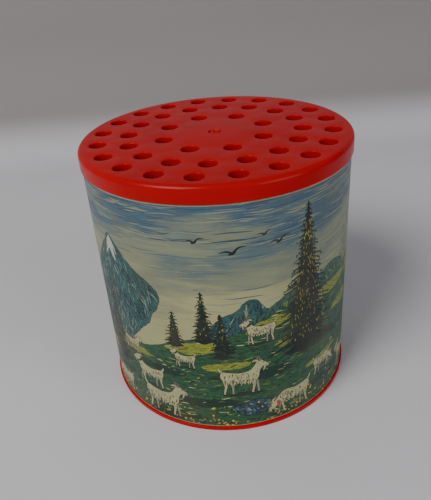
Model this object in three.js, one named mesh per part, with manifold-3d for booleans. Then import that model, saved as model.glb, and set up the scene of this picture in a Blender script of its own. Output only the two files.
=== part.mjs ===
// A tilt-to-bleat souvenir voice box: a round plastic box with a perforated lid and a printed paper wrap.
// Inside, an iron-weighted carrier stands on a pleated bellows. Turned over, the weight drops and fills the
// bellows; set upright again, it sinks and drives the air through a reed and out of the lid's holes.
//
// Millimetres, +Z up, origin at the centre of the face that the box stands on. -Y is the front of the print.

import * as THREE from "three";
import { mergeVertices } from "three/addons/utils/BufferGeometryUtils.js";
import Module from "manifold-3d";

const wasm = await Module();
wasm.setup();

// Driving dimensions
const BOX_HEIGHT = 63.6;
const LID_RADIUS = 31.5;
const SKIRT_HEIGHT = 3.9;
const LID_PLATE = 1.9;
const LID_EDGE_ROUND = 1.1;
const LID_TURN = THREE.MathUtils.degToRad(17.5); // how far the pressed-on lid happens to be turned
const HOLE_RADIUS = 2;
const HOLE_RINGS = [
  { count: 20, radius: 26.9, start: Math.PI / 20 },
  { count: 16, radius: 20.2, start: 0 },
  { count: 8, radius: 12.1, start: 0 },
];
const TRAVEL = 24; // of the weight, from its rest to the lid

const FIT = 0.1; // clearance between pieces that slide or press together
const TOUCH = 0.05; // gap between pieces that rest on each other
const OUTER_SIDES = 64;
const INNER_SIDES = 40;
const HOLE_SIDES = 12;

// Housing
const FLANGE_RADIUS = LID_RADIUS;
const FLANGE_TOP = 1.15;
const FLANGE_CHAMFER = 0.4;
const WALL_RADIUS = 30.85;
const BORE_RADIUS = 28.9;
const FOOT_RADIUS = 28.2;
const FOOT_RECESS = 0.9;
const FLOOR_TOP = 2.6;
const SKIRT_WALL = 1.4;
const SHOULDER = BOX_HEIGHT - SKIRT_HEIGHT - FIT;
const PLATE_UNDERSIDE = BOX_HEIGHT - LID_PLATE;
const MOUTH = PLATE_UNDERSIDE - FIT;
const BEAD_RADIUS = LID_RADIUS - SKIRT_WALL - FIT;
const NECK_RADIUS = BEAD_RADIUS - 0.2;
const GATE_RADIUS = 1.4;
const GATE_HEIGHT = 0.35;

// Paper wrap
const PAPER = 0.2;
const PAPER_LAP = THREE.MathUtils.degToRad(8);

// Bellows and the seats that its cuffs are clamped on
const SEAT_OUTER = 20;
const SEAT_INNER = 19;
const SEAT_HEIGHT = 1.8;
const CUFF_INNER = SEAT_OUTER + FIT;
const CUFF_WALL = 0.4;
const CUFF_HEIGHT = 2.1;
const PLEATS = 4;
const PLEAT_PITCH = 2.1;
const PLEAT_PEAK = 25.8;
const PLEAT_VALLEY = 19.4;
const FOLD_HALF = 0.3; // half the height of a fold's flat tip
const FOLD_DEPTH = 1.2; // how far the other side of a fold stays back from its tip
const CLAMP_WALL = 1.7;
const FELT = 1.8;

// Weight carrier
const CARRIER_BASE = FLOOR_TOP + CUFF_HEIGHT * 2 + PLEATS * PLEAT_PITCH + 0.2;
const CARRIER_PLATE = 1.8;
const CARRIER_FLOOR = CARRIER_BASE + CARRIER_PLATE;
const RIM_RADIUS = 28.2;
const RIM_WALL = 1.3;
const RIM_TOP = 36;
const LIP_INNER = 22.9;
const LIP_THICK = 1;
const TUBE_INNER = 7.2;
const TUBE_OUTER = 8.6;
const TUBE_TOP = 27;
const TUBE_HOLE = TUBE_OUTER + TOUCH;
const PEG_RADIUS = 2;
const PEG_CIRCLE = 13;
const PEG_COUNT = 3;
const PAD_THICK = 0.5;
const PAD_ARC = THREE.MathUtils.degToRad(26);
const PAD_HEIGHT = 14;

// Weight and what holds it down
const WEIGHT_INNER = 9.2;
const WEIGHT_OUTER = 20.8;
const WEIGHT_HEIGHT = 8;
const WEIGHT_CHAMFER = 0.8;
const WASHER_THICK = 0.6;
const RETAINER_THICK = 0.5;
const RETAINER_RADIUS = 14;
const RETAINER_TEETH = 6;

// Reed unit
const GASKET_THICK = 0.6;
const REED_FLANGE = 1.2;
const SHALLOT_RADIUS = 4.6;
const SHALLOT_FACE = 1;
const SHALLOT_BOTTOM = 17.6;
const CHANNEL_HALF = 1.7;
const CHANNEL_BACK = -2.6;
const CHANNEL_BOTTOM = 18.6;
const CHANNEL_TOP = 24.6;
const REED_BORE = 1.7;
const TONGUE_THICK = 0.15;
const TONGUE_WIDTH = 4.6;
const TONGUE_PIVOT = 25;
const TONGUE_TIP = 18.1;
const TONGUE_ROOT = 26.7;
const TONGUE_LEAN = THREE.MathUtils.degToRad(5);
const CLAMP_BLOCK = 1.3;

// Horn, and the felt ring under the lid between two rings of holes
const HORN_BASE_THICK = 0.8;
const HORN_THROAT = 2.8;
const HORN_WALL = 0.9;
const HORN_MOUTH = 9.6;
const HORN_TOP = 36.6;
const BUMPER_INNER = 22.5;
const BUMPER_OUTER = 24.6;

const COLOURS = {
  red: { color: 0xb81414, roughness: 0.32, metalness: 0 },
  paper: { color: 0x8fa294, roughness: 0.55, metalness: 0 },
  felt: { color: 0x5c5f52, roughness: 0.95, metalness: 0 },
  ivory: { color: 0xe3dcc6, roughness: 0.5, metalness: 0 },
  oilcloth: { color: 0x2a2622, roughness: 0.6, metalness: 0 },
  iron: { color: 0x4b4744, roughness: 0.7, metalness: 0.8 },
  steel: { color: 0xa7a9ab, roughness: 0.35, metalness: 1 },
  brass: { color: 0xb8964a, roughness: 0.35, metalness: 1 },
  rubber: { color: 0x1d1d1d, roughness: 0.85, metalness: 0 },
};

const part = new THREE.Group();

// --- Shapes -----------------------------------------------------------------------------------------------

/** Stands a geometry made along Y up along Z. */
function upright(geometry) {
  return geometry.rotateX(Math.PI / 2);
}

/** A ring or disc turned about Z from [radius, height] points that go round its section once. */
function turned(section, sides) {
  const points = section.map(([radius, height]) => new THREE.Vector2(radius, height));
  if (THREE.ShapeUtils.area(points) < 0) points.reverse();
  const onAxis = points.findIndex((p, i) => p.x === 0 && points[(i + 1) % points.length].x === 0);
  if (onAxis < 0) points.push(points[0].clone());
  else points.unshift(...points.splice(onAxis + 1));
  return upright(new THREE.LatheGeometry(points, sides));
}

/** A plain ring, or a disc if its inner radius is 0. */
function ring(inner, outer, bottom, top, sides) {
  const section = [[inner, bottom], [outer, bottom], [outer, top], [inner, top]];
  return turned(section, sides);
}

/** An outline in X and Y, drawn up from one height to another. */
function prism(shape, bottom, top, curveSegments = 1) {
  const depth = top - bottom;
  const geometry = new THREE.ExtrudeGeometry(shape, { depth, bevelEnabled: false, curveSegments });
  return geometry.translate(0, 0, bottom);
}

/** An upright round bar at a place in X and Y. */
function bar(radius, x, y, bottom, top, sides) {
  const geometry = upright(new THREE.CylinderGeometry(radius, radius, top - bottom, sides));
  return geometry.translate(x, y, (bottom + top) / 2);
}

/** A point on a circle about Z. */
function polar(radius, angle) {
  return new THREE.Vector2(radius * Math.cos(angle), radius * Math.sin(angle));
}

/** Points along an arc in the plane of a section, ends included. */
function arc(centreX, centreY, radius, from, to, steps) {
  return Array.from({ length: steps + 1 }, (_, i) => {
    const p = polar(radius, from + ((to - from) * i) / steps);
    return [centreX + p.x, centreY + p.y];
  });
}

/** An outline between two radii and two angles. */
function sector(inner, outer, from, to, steps) {
  const outside = arc(0, 0, outer, from, to, steps);
  const inside = arc(0, 0, inner, to, from, steps);
  return new THREE.Shape([...outside, ...inside].map(([x, y]) => new THREE.Vector2(x, y)));
}

// --- Joining and cutting ------------------------------------------------------------------------------------

/** A geometry as a manifold-3d solid. */
function solid(geometry) {
  const bare = geometry.clone();
  bare.deleteAttribute("normal");
  bare.deleteAttribute("uv");
  const merged = mergeVertices(bare, 1e-4);
  const vertProperties = merged.attributes.position.array;
  return new wasm.Manifold(
    new wasm.Mesh({ numProp: 3, vertProperties, triVerts: new Uint32Array(merged.index.array) }),
  );
}

/** A manifold-3d solid as a geometry. */
function geometryOf(made) {
  const { vertProperties, triVerts } = made.getMesh();
  const geometry = new THREE.BufferGeometry();
  geometry.setAttribute("position", new THREE.BufferAttribute(vertProperties, 3));
  geometry.setIndex(new THREE.BufferAttribute(triVerts, 1));
  return geometry;
}

function cut(body, tools) {
  return geometryOf(tools.reduce((left, tool) => left.subtract(solid(tool)), solid(body)));
}

function join(body, additions) {
  return geometryOf(additions.reduce((whole, extra) => whole.add(solid(extra)), solid(body)));
}

/** Adds a piece to the part as a named mesh, and gives the mesh back. */
function piece(name, colour, geometry) {
  const mesh = new THREE.Mesh(geometry, new THREE.MeshStandardMaterial(COLOURS[colour]));
  mesh.name = name;
  mesh.material.name = colour;
  mesh.geometry.computeVertexNormals();
  part.add(mesh);
  return mesh;
}

// --- Housing ------------------------------------------------------------------------------------------------

/** The moulded cup: a base flange, a label recess, a neck for the lid and a seat for the bellows. */
function housingCup() {
  const beadBottom = MOUTH - 1.1;
  const section = [
    [0, FOOT_RECESS - GATE_HEIGHT],
    [GATE_RADIUS, FOOT_RECESS - GATE_HEIGHT],
    [GATE_RADIUS, FOOT_RECESS],
    [FOOT_RADIUS, FOOT_RECESS],
    [FOOT_RADIUS + FOOT_RECESS / 2, 0],
    [FLANGE_RADIUS - FLANGE_CHAMFER, 0],
    [FLANGE_RADIUS, FLANGE_CHAMFER],
    [FLANGE_RADIUS, FLANGE_TOP],
    [WALL_RADIUS, FLANGE_TOP],
    [WALL_RADIUS, SHOULDER],
    [NECK_RADIUS, SHOULDER],
    [NECK_RADIUS, beadBottom],
    [BEAD_RADIUS, beadBottom + 0.3],
    [NECK_RADIUS, MOUTH],
    [BORE_RADIUS, MOUTH],
    [BORE_RADIUS, FLOOR_TOP + 0.8],
    [BORE_RADIUS - 0.8, FLOOR_TOP],
    [SEAT_OUTER, FLOOR_TOP],
    [SEAT_OUTER, FLOOR_TOP + SEAT_HEIGHT],
    [SEAT_INNER, FLOOR_TOP + SEAT_HEIGHT],
    [SEAT_INNER, FLOOR_TOP],
    [0, FLOOR_TOP],
  ];
  return turned(section, OUTER_SIDES);
}

/** The paper wrap: one strip rolled once round, with its end lapped over its start at the back. */
function labelWrap() {
  const inner = WALL_RADIUS + TOUCH;
  const seam = Math.PI / 2;
  const step = PAPER + TOUCH;
  const points = [];
  const turn = 2 * Math.PI;
  // The strip runs once round on the wall, then climbs one thickness to lie on its own start.
  const route = [];
  for (let i = 0; i <= OUTER_SIDES; i += 1) route.push([seam + (turn * i) / OUTER_SIDES, 0]);
  route.splice(-1, 1, [seam + turn - 0.5 * PAPER_LAP, 0], [seam + turn, step]);
  route.push([seam + turn + PAPER_LAP / 2, step], [seam + turn + PAPER_LAP, step]);
  for (const [angle, lift] of route) points.push(polar(inner + PAPER + lift, angle));
  for (const [angle, lift] of route.reverse()) points.push(polar(inner + lift, angle));
  return prism(new THREE.Shape(points), FLANGE_TOP + TOUCH, SHOULDER - TOUCH);
}

/** A felt ring on the floor that takes the carrier's pegs. */
function floorFelt() {
  return ring(6, SEAT_INNER - 1, FLOOR_TOP + TOUCH, FLOOR_TOP + FELT, INNER_SIDES);
}

/** The pleated skin between the floor and the carrier, with a plain cuff at each end. */
function bellows() {
  const bottom = FLOOR_TOP + FIT;
  const firstFold = FLOOR_TOP + CUFF_HEIGHT + 0.1;
  const lastFold = firstFold + PLEATS * PLEAT_PITCH;
  const top = CARRIER_BASE - FIT;
  const outside = [[CUFF_INNER + CUFF_WALL, bottom], [CUFF_INNER + CUFF_WALL, firstFold]];
  const inside = [[CUFF_INNER, bottom], [CUFF_INNER, firstFold + FOLD_HALF]];
  for (let i = 0; i < PLEATS; i += 1) {
    const peak = firstFold + (i + 0.5) * PLEAT_PITCH;
    const valley = peak + PLEAT_PITCH / 2;
    outside.push([PLEAT_PEAK, peak - FOLD_HALF], [PLEAT_PEAK, peak + FOLD_HALF]);
    inside.push([PLEAT_PEAK - FOLD_DEPTH, peak]);
    if (i === PLEATS - 1) continue;
    outside.push([PLEAT_VALLEY + FOLD_DEPTH, valley]);
    inside.push([PLEAT_VALLEY, valley - FOLD_HALF], [PLEAT_VALLEY, valley + FOLD_HALF]);
  }
  outside.push([CUFF_INNER + CUFF_WALL, lastFold], [CUFF_INNER + CUFF_WALL, top]);
  inside.push([CUFF_INNER, lastFold - FOLD_HALF], [CUFF_INNER, top]);
  return turned([...outside, ...inside.reverse()], INNER_SIDES);
}

/** A clamp ring pressed over a cuff. */
function cuffRing(bottom) {
  const inner = CUFF_INNER + CUFF_WALL + FIT;
  return ring(inner, inner + CLAMP_WALL, bottom, bottom + SEAT_HEIGHT - FIT, INNER_SIDES);
}

// --- Weight unit --------------------------------------------------------------------------------------------

/** The carrier's plate: a disc with a hole for the reed tube and a bellows seat below. */
function weightCarrier() {
  const section = [
    [TUBE_HOLE, CARRIER_BASE],
    [SEAT_INNER, CARRIER_BASE],
    [SEAT_INNER, CARRIER_BASE - SEAT_HEIGHT],
    [SEAT_OUTER, CARRIER_BASE - SEAT_HEIGHT],
    [SEAT_OUTER, CARRIER_BASE],
    [RIM_RADIUS - 0.6, CARRIER_BASE],
    [RIM_RADIUS, CARRIER_BASE + 0.6],
    [RIM_RADIUS, CARRIER_FLOOR],
    [TUBE_HOLE, CARRIER_FLOOR],
  ];
  return turned(section, INNER_SIDES + 8);
}

/** The guide rim on the plate's edge, with a lip turned in at its top. */
function guideRim() {
  const section = [
    [RIM_RADIUS - RIM_WALL, CARRIER_FLOOR + TOUCH],
    [RIM_RADIUS, CARRIER_FLOOR + TOUCH],
    [RIM_RADIUS, RIM_TOP],
    [LIP_INNER, RIM_TOP],
    [LIP_INNER, RIM_TOP - LIP_THICK],
    [RIM_RADIUS - RIM_WALL, RIM_TOP - LIP_THICK],
  ];
  return turned(section, INNER_SIDES + 8);
}

/** The tube pressed through the carrier's plate, which leads the bellows' air up to the reed unit. */
function reedTube() {
  return ring(TUBE_INNER, TUBE_OUTER, CARRIER_BASE, TUBE_TOP, INNER_SIDES + 8);
}

/** One of the pegs under the carrier that land on the floor felt. */
function carrierPeg(index) {
  const place = polar(PEG_CIRCLE, (2 * Math.PI * index) / PEG_COUNT);
  return bar(PEG_RADIUS, place.x, place.y, FLOOR_TOP + FELT + TOUCH, CARRIER_BASE - TOUCH, 16);
}

/** The cast weight, chamfered top and bottom. */
function weightRing() {
  const bottom = CARRIER_FLOOR + TOUCH;
  const top = bottom + WEIGHT_HEIGHT;
  const section = [
    [WEIGHT_INNER, bottom],
    [WEIGHT_OUTER - WEIGHT_CHAMFER, bottom],
    [WEIGHT_OUTER, bottom + WEIGHT_CHAMFER],
    [WEIGHT_OUTER, top - WEIGHT_CHAMFER],
    [WEIGHT_OUTER - WEIGHT_CHAMFER, top],
    [WEIGHT_INNER + WEIGHT_CHAMFER, top],
    [WEIGHT_INNER, top - WEIGHT_CHAMFER],
  ];
  return turned(section, INNER_SIDES);
}

const WASHER_BOTTOM = CARRIER_FLOOR + WEIGHT_HEIGHT + 2 * TOUCH;
const RETAINER_BOTTOM = WASHER_BOTTOM + WASHER_THICK + TOUCH;

/** The push-on spring washer: a steel disc whose inner teeth grip the carrier's tube. */
function weightRetainer() {
  const outline = new THREE.Shape().absarc(0, 0, RETAINER_RADIUS, 0, 2 * Math.PI);
  const tooth = (2 * Math.PI) / RETAINER_TEETH;
  const bite = (TUBE_OUTER + TOUCH) / Math.cos(tooth / 8);
  const notch = TUBE_OUTER + 1.6;
  const eye = [];
  for (let i = 0; i < RETAINER_TEETH; i += 1) {
    for (const share of [0, 0.25, 0.5, 0.75]) eye.push(polar(bite, (i + share) * tooth));
    eye.push(polar(notch, (i + 0.78) * tooth), polar(notch, (i + 0.97) * tooth));
  }
  outline.holes.push(new THREE.Path(eye));
  return prism(outline, RETAINER_BOTTOM, RETAINER_BOTTOM + RETAINER_THICK, INNER_SIDES / 2);
}

/** One of the felt pads that keep the rim quiet against the bore. */
function guidePad(angle) {
  const inner = RIM_RADIUS + TOUCH;
  const shape = sector(inner, inner + PAD_THICK, angle - PAD_ARC / 2, angle + PAD_ARC / 2, 8);
  const bottom = (CARRIER_BASE + RIM_TOP - PAD_HEIGHT) / 2;
  return prism(shape, bottom, bottom + PAD_HEIGHT);
}

// --- Reed unit ----------------------------------------------------------------------------------------------

const GASKET_BOTTOM = TUBE_TOP + TOUCH;
const FLANGE_BOTTOM = GASKET_BOTTOM + GASKET_THICK + TOUCH;
const REED_TOP = FLANGE_BOTTOM + REED_FLANGE;

/** The shallot: a flanged plug with a flat face, a channel in that face, and a bore up to the horn. */
function reedBody() {
  const bore = CHANNEL_BACK + REED_BORE;
  const plug = join(bar(TUBE_OUTER, 0, 0, FLANGE_BOTTOM, REED_TOP, INNER_SIDES), [
    bar(SHALLOT_RADIUS, 0, 0, SHALLOT_BOTTOM, FLANGE_BOTTOM + 0.5, 24),
  ]);
  const flat = new THREE.BoxGeometry(SHALLOT_RADIUS, 12, FLANGE_BOTTOM - SHALLOT_BOTTOM + 2);
  const flatMiddle = (FLANGE_BOTTOM + SHALLOT_BOTTOM - 2) / 2;
  flat.translate(SHALLOT_FACE + SHALLOT_RADIUS / 2, 0, flatMiddle);
  const channelWidth = SHALLOT_FACE + 1 - CHANNEL_BACK;
  const channel = new THREE.BoxGeometry(channelWidth, 2 * CHANNEL_HALF, CHANNEL_TOP - CHANNEL_BOTTOM);
  channel.translate(CHANNEL_BACK + channelWidth / 2, 0, (CHANNEL_TOP + CHANNEL_BOTTOM) / 2);
  return cut(plug, [flat, channel, bar(REED_BORE, bore, 0, CHANNEL_TOP - 2, REED_TOP + 1, 20)]);
}

/** The springy strip that beats on the shallot's face: upright where it is clamped, leaning out below. */
function reedTongue() {
  const face = SHALLOT_FACE + 0.12;
  const tip = face + (TONGUE_PIVOT - TONGUE_TIP) * Math.tan(TONGUE_LEAN);
  const line = [[face, TONGUE_ROOT], [face, TONGUE_PIVOT], [tip, TONGUE_TIP]];
  const back = line.map(([x, z]) => [x + TONGUE_THICK, z]).reverse();
  const shape = new THREE.Shape([...line, ...back].map(([x, z]) => new THREE.Vector2(x, z)));
  return upright(prism(shape, -TONGUE_WIDTH / 2, TONGUE_WIDTH / 2));
}

/** The block that clamps the tongue's root against the face. */
function reedClamp() {
  const left = SHALLOT_FACE + 0.12 + TONGUE_THICK + 0.15;
  const height = FLANGE_BOTTOM - TOUCH - TONGUE_PIVOT - 0.2;
  const block = new THREE.BoxGeometry(CLAMP_BLOCK, TONGUE_WIDTH + 1.2, height);
  return block.translate(left + CLAMP_BLOCK / 2, 0, FLANGE_BOTTOM - TOUCH - height / 2);
}

/** The small horn that stands on the reed unit: a flange, a throat and a flare like a trumpet's. */
function resonatorHorn() {
  const bottom = REED_TOP + TOUCH;
  const shelf = bottom + HORN_BASE_THICK;
  const steps = 5;
  const flare = (offset) =>
    Array.from({ length: steps + 1 }, (_, i) => {
      const share = i / steps;
      const radius = HORN_THROAT + (HORN_MOUTH - HORN_THROAT) * share ** 2;
      return [radius + offset, shelf + (HORN_TOP - shelf) * Math.sin((share * Math.PI) / 2)];
    });
  const section = [
    [HORN_THROAT, bottom],
    [TUBE_OUTER, bottom],
    [TUBE_OUTER, shelf],
    ...flare(HORN_WALL),
    ...flare(0).reverse(),
  ];
  return turned(section, INNER_SIDES - 8);
}

// --- Lid ----------------------------------------------------------------------------------------------------

/** The perforated cap: a plate with three rings of holes and a skirt that snaps over the housing's neck. */
function lid() {
  const skirtBottom = BOX_HEIGHT - SKIRT_HEIGHT;
  const skirtInner = LID_RADIUS - SKIRT_WALL;
  const round = arc(
    LID_RADIUS - LID_EDGE_ROUND, BOX_HEIGHT - LID_EDGE_ROUND, LID_EDGE_ROUND, 0, Math.PI / 2, 4,
  );
  const cap = turned(
    [
      [0, PLATE_UNDERSIDE],
      [skirtInner, PLATE_UNDERSIDE],
      [skirtInner, skirtBottom],
      [LID_RADIUS, skirtBottom],
      ...round,
      [0, BOX_HEIGHT],
    ],
    OUTER_SIDES,
  );
  const holes = HOLE_RINGS.flatMap(({ count, radius, start }) =>
    Array.from({ length: count }, (_, i) => {
      const place = polar(radius, LID_TURN + start + (2 * Math.PI * i) / count);
      return bar(HOLE_RADIUS, place.x, place.y, PLATE_UNDERSIDE - 1, BOX_HEIGHT + 1, HOLE_SIDES);
    }),
  );
  return cut(cap, holes);
}

/** The felt ring that the carrier's lip lands on when the box is turned over. */
function topBumper() {
  const bottom = RIM_TOP + TRAVEL + 0.3;
  return ring(BUMPER_INNER, BUMPER_OUTER, bottom, PLATE_UNDERSIDE - TOUCH, INNER_SIDES);
}

// --- Assembly -----------------------------------------------------------------------------------------------

piece("housing_cup", "red", housingCup());
piece("label_wrap", "paper", labelWrap());
piece("floor_felt", "felt", floorFelt());
piece("bellows", "oilcloth", bellows());
piece("bellows_base_ring", "ivory", cuffRing(FLOOR_TOP + FIT));

piece("weight_carrier", "ivory", weightCarrier());
piece("guide_rim", "ivory", guideRim());
piece("reed_tube", "ivory", reedTube());
for (let i = 0; i < PEG_COUNT; i += 1) {
  piece(`carrier_peg_${i + 1}`, "ivory", carrierPeg(i));
}
piece("bellows_top_ring", "ivory", cuffRing(CARRIER_BASE - SEAT_HEIGHT));
piece("weight_ring", "iron", weightRing());
piece("weight_washer", "felt", ring(9, 19.5, WASHER_BOTTOM, WASHER_BOTTOM + WASHER_THICK, INNER_SIDES));
piece("weight_retainer", "steel", weightRetainer());
for (let i = 0; i < PEG_COUNT; i += 1) {
  piece(`guide_pad_${i + 1}`, "felt", guidePad(Math.PI / 3 + (2 * Math.PI * i) / PEG_COUNT));
}
piece("reed_gasket", "rubber", ring(5.2, TUBE_OUTER, GASKET_BOTTOM, GASKET_BOTTOM + GASKET_THICK, 32));
piece("reed_body", "brass", reedBody());
piece("reed_tongue", "steel", reedTongue());
piece("reed_clamp", "brass", reedClamp());
piece("resonator_horn", "ivory", resonatorHorn());

piece("lid", "red", lid());
piece("top_bumper", "felt", topBumper());

export default part;
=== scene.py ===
"""A souvenir voice box: a glossy red plastic box with a perforated lid, wrapped in a printed alpine pasture.

Metres, +Z up, -Y the front of the print. The print is drawn flat, in millimetres, then rolled round the wall.
"""

import cmath
import math
import random

import bpy
from mathutils import Matrix, Vector
from mathutils.bvhtree import BVHTree
from mathutils.geometry import delaunay_2d_cdt


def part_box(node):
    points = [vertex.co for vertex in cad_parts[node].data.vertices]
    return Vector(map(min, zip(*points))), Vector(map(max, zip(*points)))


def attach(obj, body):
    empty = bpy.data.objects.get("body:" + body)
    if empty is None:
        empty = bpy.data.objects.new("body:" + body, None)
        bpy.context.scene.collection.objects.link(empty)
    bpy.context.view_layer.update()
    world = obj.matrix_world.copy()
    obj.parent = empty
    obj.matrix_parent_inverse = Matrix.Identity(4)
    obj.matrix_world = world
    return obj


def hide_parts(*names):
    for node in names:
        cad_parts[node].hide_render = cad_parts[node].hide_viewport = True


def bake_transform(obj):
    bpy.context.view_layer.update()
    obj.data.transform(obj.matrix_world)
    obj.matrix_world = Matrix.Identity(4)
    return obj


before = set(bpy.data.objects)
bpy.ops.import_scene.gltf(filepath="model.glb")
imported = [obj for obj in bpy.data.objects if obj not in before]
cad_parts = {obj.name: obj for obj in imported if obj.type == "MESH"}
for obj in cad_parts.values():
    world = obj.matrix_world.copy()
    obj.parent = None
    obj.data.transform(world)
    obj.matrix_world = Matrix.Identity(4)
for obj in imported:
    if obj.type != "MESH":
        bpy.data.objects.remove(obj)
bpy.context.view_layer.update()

MM = 0.001
TURN = 2 * math.pi

# --- Sizes, in millimetres, from the frame ---


def low_high(node):
    """A node's lowest and highest corners, in millimetres."""
    low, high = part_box(node)
    return low / MM, high / MM


LID_LOW, LID_HIGH = low_high("lid")
LID_RADIUS = LID_HIGH.x
LID_TOP = LID_HIGH.z
LID_PLATE = 1.9
LID_SKIRT_INNER = LID_RADIUS - 1.4
LID_EDGE_ROUND = 1.1
LID_TURN = math.radians(17.5)
HOLE_RADIUS = 2.0
HOLE_LIP = 0.22
HOLE_RINGS = ((20, 26.9, math.pi / 20), (16, 20.2, 0.0), (8, 12.1, 0.0))
GATE_SCAR = ((1.6, 0), (1.45, 0.3), (1.2, 0.34), (0.85, 0.02), (0.5, 0.06), (0.2, 0.3))  # radius, depth

PAPER_LOW, PAPER_HIGH = low_high("label_wrap")
PAPER_BOTTOM = PAPER_LOW.z
PAPER_HEIGHT = PAPER_HIGH.z - PAPER_LOW.z
PAPER_RADIUS = 31.1
PAPER_THICK = 0.2
PAPER_STEP = 0.25
PAPER_HALF = math.pi * PAPER_RADIUS
PAPER_LAP = math.radians(8) * PAPER_RADIUS

FLANGE, WALL, NECK, BEAD, BORE = 31.5, 30.85, 29.8, 30, 28.9
WALL_TOP, NECK_TOP, CUP_FLOOR = 59.6, 61.6, 2.6
SEAT_INNER, SEAT_OUTER, SEAT_HEIGHT = 19, 20, 1.8
PLATE_HOLE = 8.65

CUP_SIDES = 192
LATHE_SIDES = 128


# --- Mesh making ---


def add_object(name, vertices, faces, materials, face_slots=None, smooth=True):
    """An object from millimetre vertices, with its materials."""
    mesh = bpy.data.meshes.new(name)
    mesh.from_pydata([tuple(c * MM for c in v) for v in vertices], [], faces)
    for material in materials:
        mesh.materials.append(material)
    if face_slots:
        mesh.polygons.foreach_set("material_index", face_slots)
    mesh.polygons.foreach_set("use_smooth", [smooth] * len(mesh.polygons))
    mesh.validate()
    mesh.update()
    piece = bpy.data.objects.new(name, mesh)
    bpy.context.collection.objects.link(piece)
    return piece


def crisp(piece, angle=32):
    """Smooth shading that keeps edges sharper than an angle."""
    piece.data.set_sharp_from_angle(angle=math.radians(angle))
    return piece


def stands_for(piece, body, slot, node):
    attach(piece, body)
    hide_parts(node)


def edges_of(outline):
    """The pairs of neighbours round a closed outline."""
    return zip(outline, outline[1:] + outline[:1])


def rounded(section, radius=0.25, steps=3):
    """A closed section of (radius, height) points with its corners rounded, except on the axis."""
    line = []
    count = len(section)
    for i, corner in enumerate(section):
        here = complex(*corner[:2])
        before = complex(*section[i - 1][:2])
        after = complex(*section[(i + 1) % count][:2])
        reach = corner[2] if len(corner) > 2 else radius
        if here.real == 0 or reach == 0:
            line.append(here)
            continue
        reach = min(reach, abs(before - here) / 2.2, abs(after - here) / 2.2)
        start = here + (before - here) / abs(before - here) * reach
        end = here + (after - here) / abs(after - here) * reach
        for k in range(steps + 1):
            t = k / steps
            line.append((1 - t) ** 2 * start + 2 * t * (1 - t) * here + t * t * end)
    return [(p.real, p.imag) for p in line]


def lathe(name, section, materials, sides=LATHE_SIDES):
    """A closed ring or disc turned about Z from a closed section with its inside on the left."""
    vertices, rows = [], []
    for radius, height in section:
        if radius == 0:
            rows.append([len(vertices)] * sides)
            vertices.append((0, 0, height))
            continue
        rows.append(list(range(len(vertices), len(vertices) + sides)))
        for k in range(sides):
            angle = TURN * k / sides
            vertices.append((radius * math.cos(angle), radius * math.sin(angle), height))
    faces = []
    for i, row in enumerate(rows):
        other = rows[(i + 1) % len(rows)]
        for k in range(sides):
            n = (k + 1) % sides
            face = list(dict.fromkeys((row[k], row[n], other[n], other[k])))
            if len(face) > 2:
                faces.append(face)
    return crisp(add_object(name, vertices, faces, materials))


# --- Shader making ---


def linear(hex_colour):
    """A printed sRGB colour such as "b81414" as linear RGBA."""
    parts = [int(hex_colour[i : i + 2], 16) / 255 for i in (0, 2, 4)]
    return [p / 12.92 if p <= 0.04045 else ((p + 0.055) / 1.055) ** 2.4 for p in parts] + [1.0]


class Shader:
    """A material's node tree, built by small steps that return sockets."""

    def __init__(self, name):
        self.material = bpy.data.materials.new(name)
        self.material.use_nodes = True
        self.tree = self.material.node_tree
        self.surface = self.tree.nodes["Principled BSDF"]

    def node(self, kind, inputs=(), **settings):
        made = self.tree.nodes.new(kind)
        for key, value in settings.items():
            setattr(made, key, value)
        for key, value in dict(inputs).items():
            self.put(made.inputs[key], value)
        return made

    def put(self, socket, value):
        if isinstance(value, bpy.types.NodeSocket):
            self.tree.links.new(value, socket)
        else:
            socket.default_value = value

    def set(self, **inputs):
        for key, value in inputs.items():
            self.put(self.surface.inputs[key.replace("_", " ")], value)

    def place(self, scale=(1, 1, 1), turn=0.0, print_space=False):
        """Object coordinates, or the print's own flat ones in millimetres, scaled and turned."""
        if print_space:
            where = self.node("ShaderNodeUVMap", uv_map="Print").outputs[0]
        else:
            where = self.node("ShaderNodeTexCoord").outputs["Object"]
        inputs = {0: where, "Rotation": (0, 0, turn), "Scale": scale}
        return self.node("ShaderNodeMapping", inputs).outputs[0]

    def noise(self, where, scale, detail=3.0, rough=0.55, distort=0.0):
        inputs = {"Vector": where, "Scale": scale, "Detail": detail, "Roughness": rough}
        inputs["Distortion"] = distort
        return self.node("ShaderNodeTexNoise", inputs).outputs[0]

    def spread(self, value, low, high, to_low=0.0, to_high=1.0):
        """Maps a range of a value, smoothly, to another range."""
        inputs = {0: value, 1: low, 2: high, 3: to_low, 4: to_high}
        return self.node("ShaderNodeMapRange", inputs, interpolation_type="SMOOTHSTEP").outputs[0]

    def mix(self, share, first, second):
        node = self.node("ShaderNodeMix", {0: share}, data_type="RGBA")
        self.put(node.inputs[6], first)
        self.put(node.inputs[7], second)
        return node.outputs[2]

    def math(self, operation, *values):
        return self.node("ShaderNodeMath", dict(enumerate(values)), operation=operation).outputs[0]

    def bump(self, height, strength, distance=0.1 * MM, under=None):
        inputs = {"Height": height, "Strength": strength, "Distance": distance}
        if under:
            inputs["Normal"] = under
        return self.node("ShaderNodeBump", inputs).outputs[0]


# --- Materials of the box ---


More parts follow.
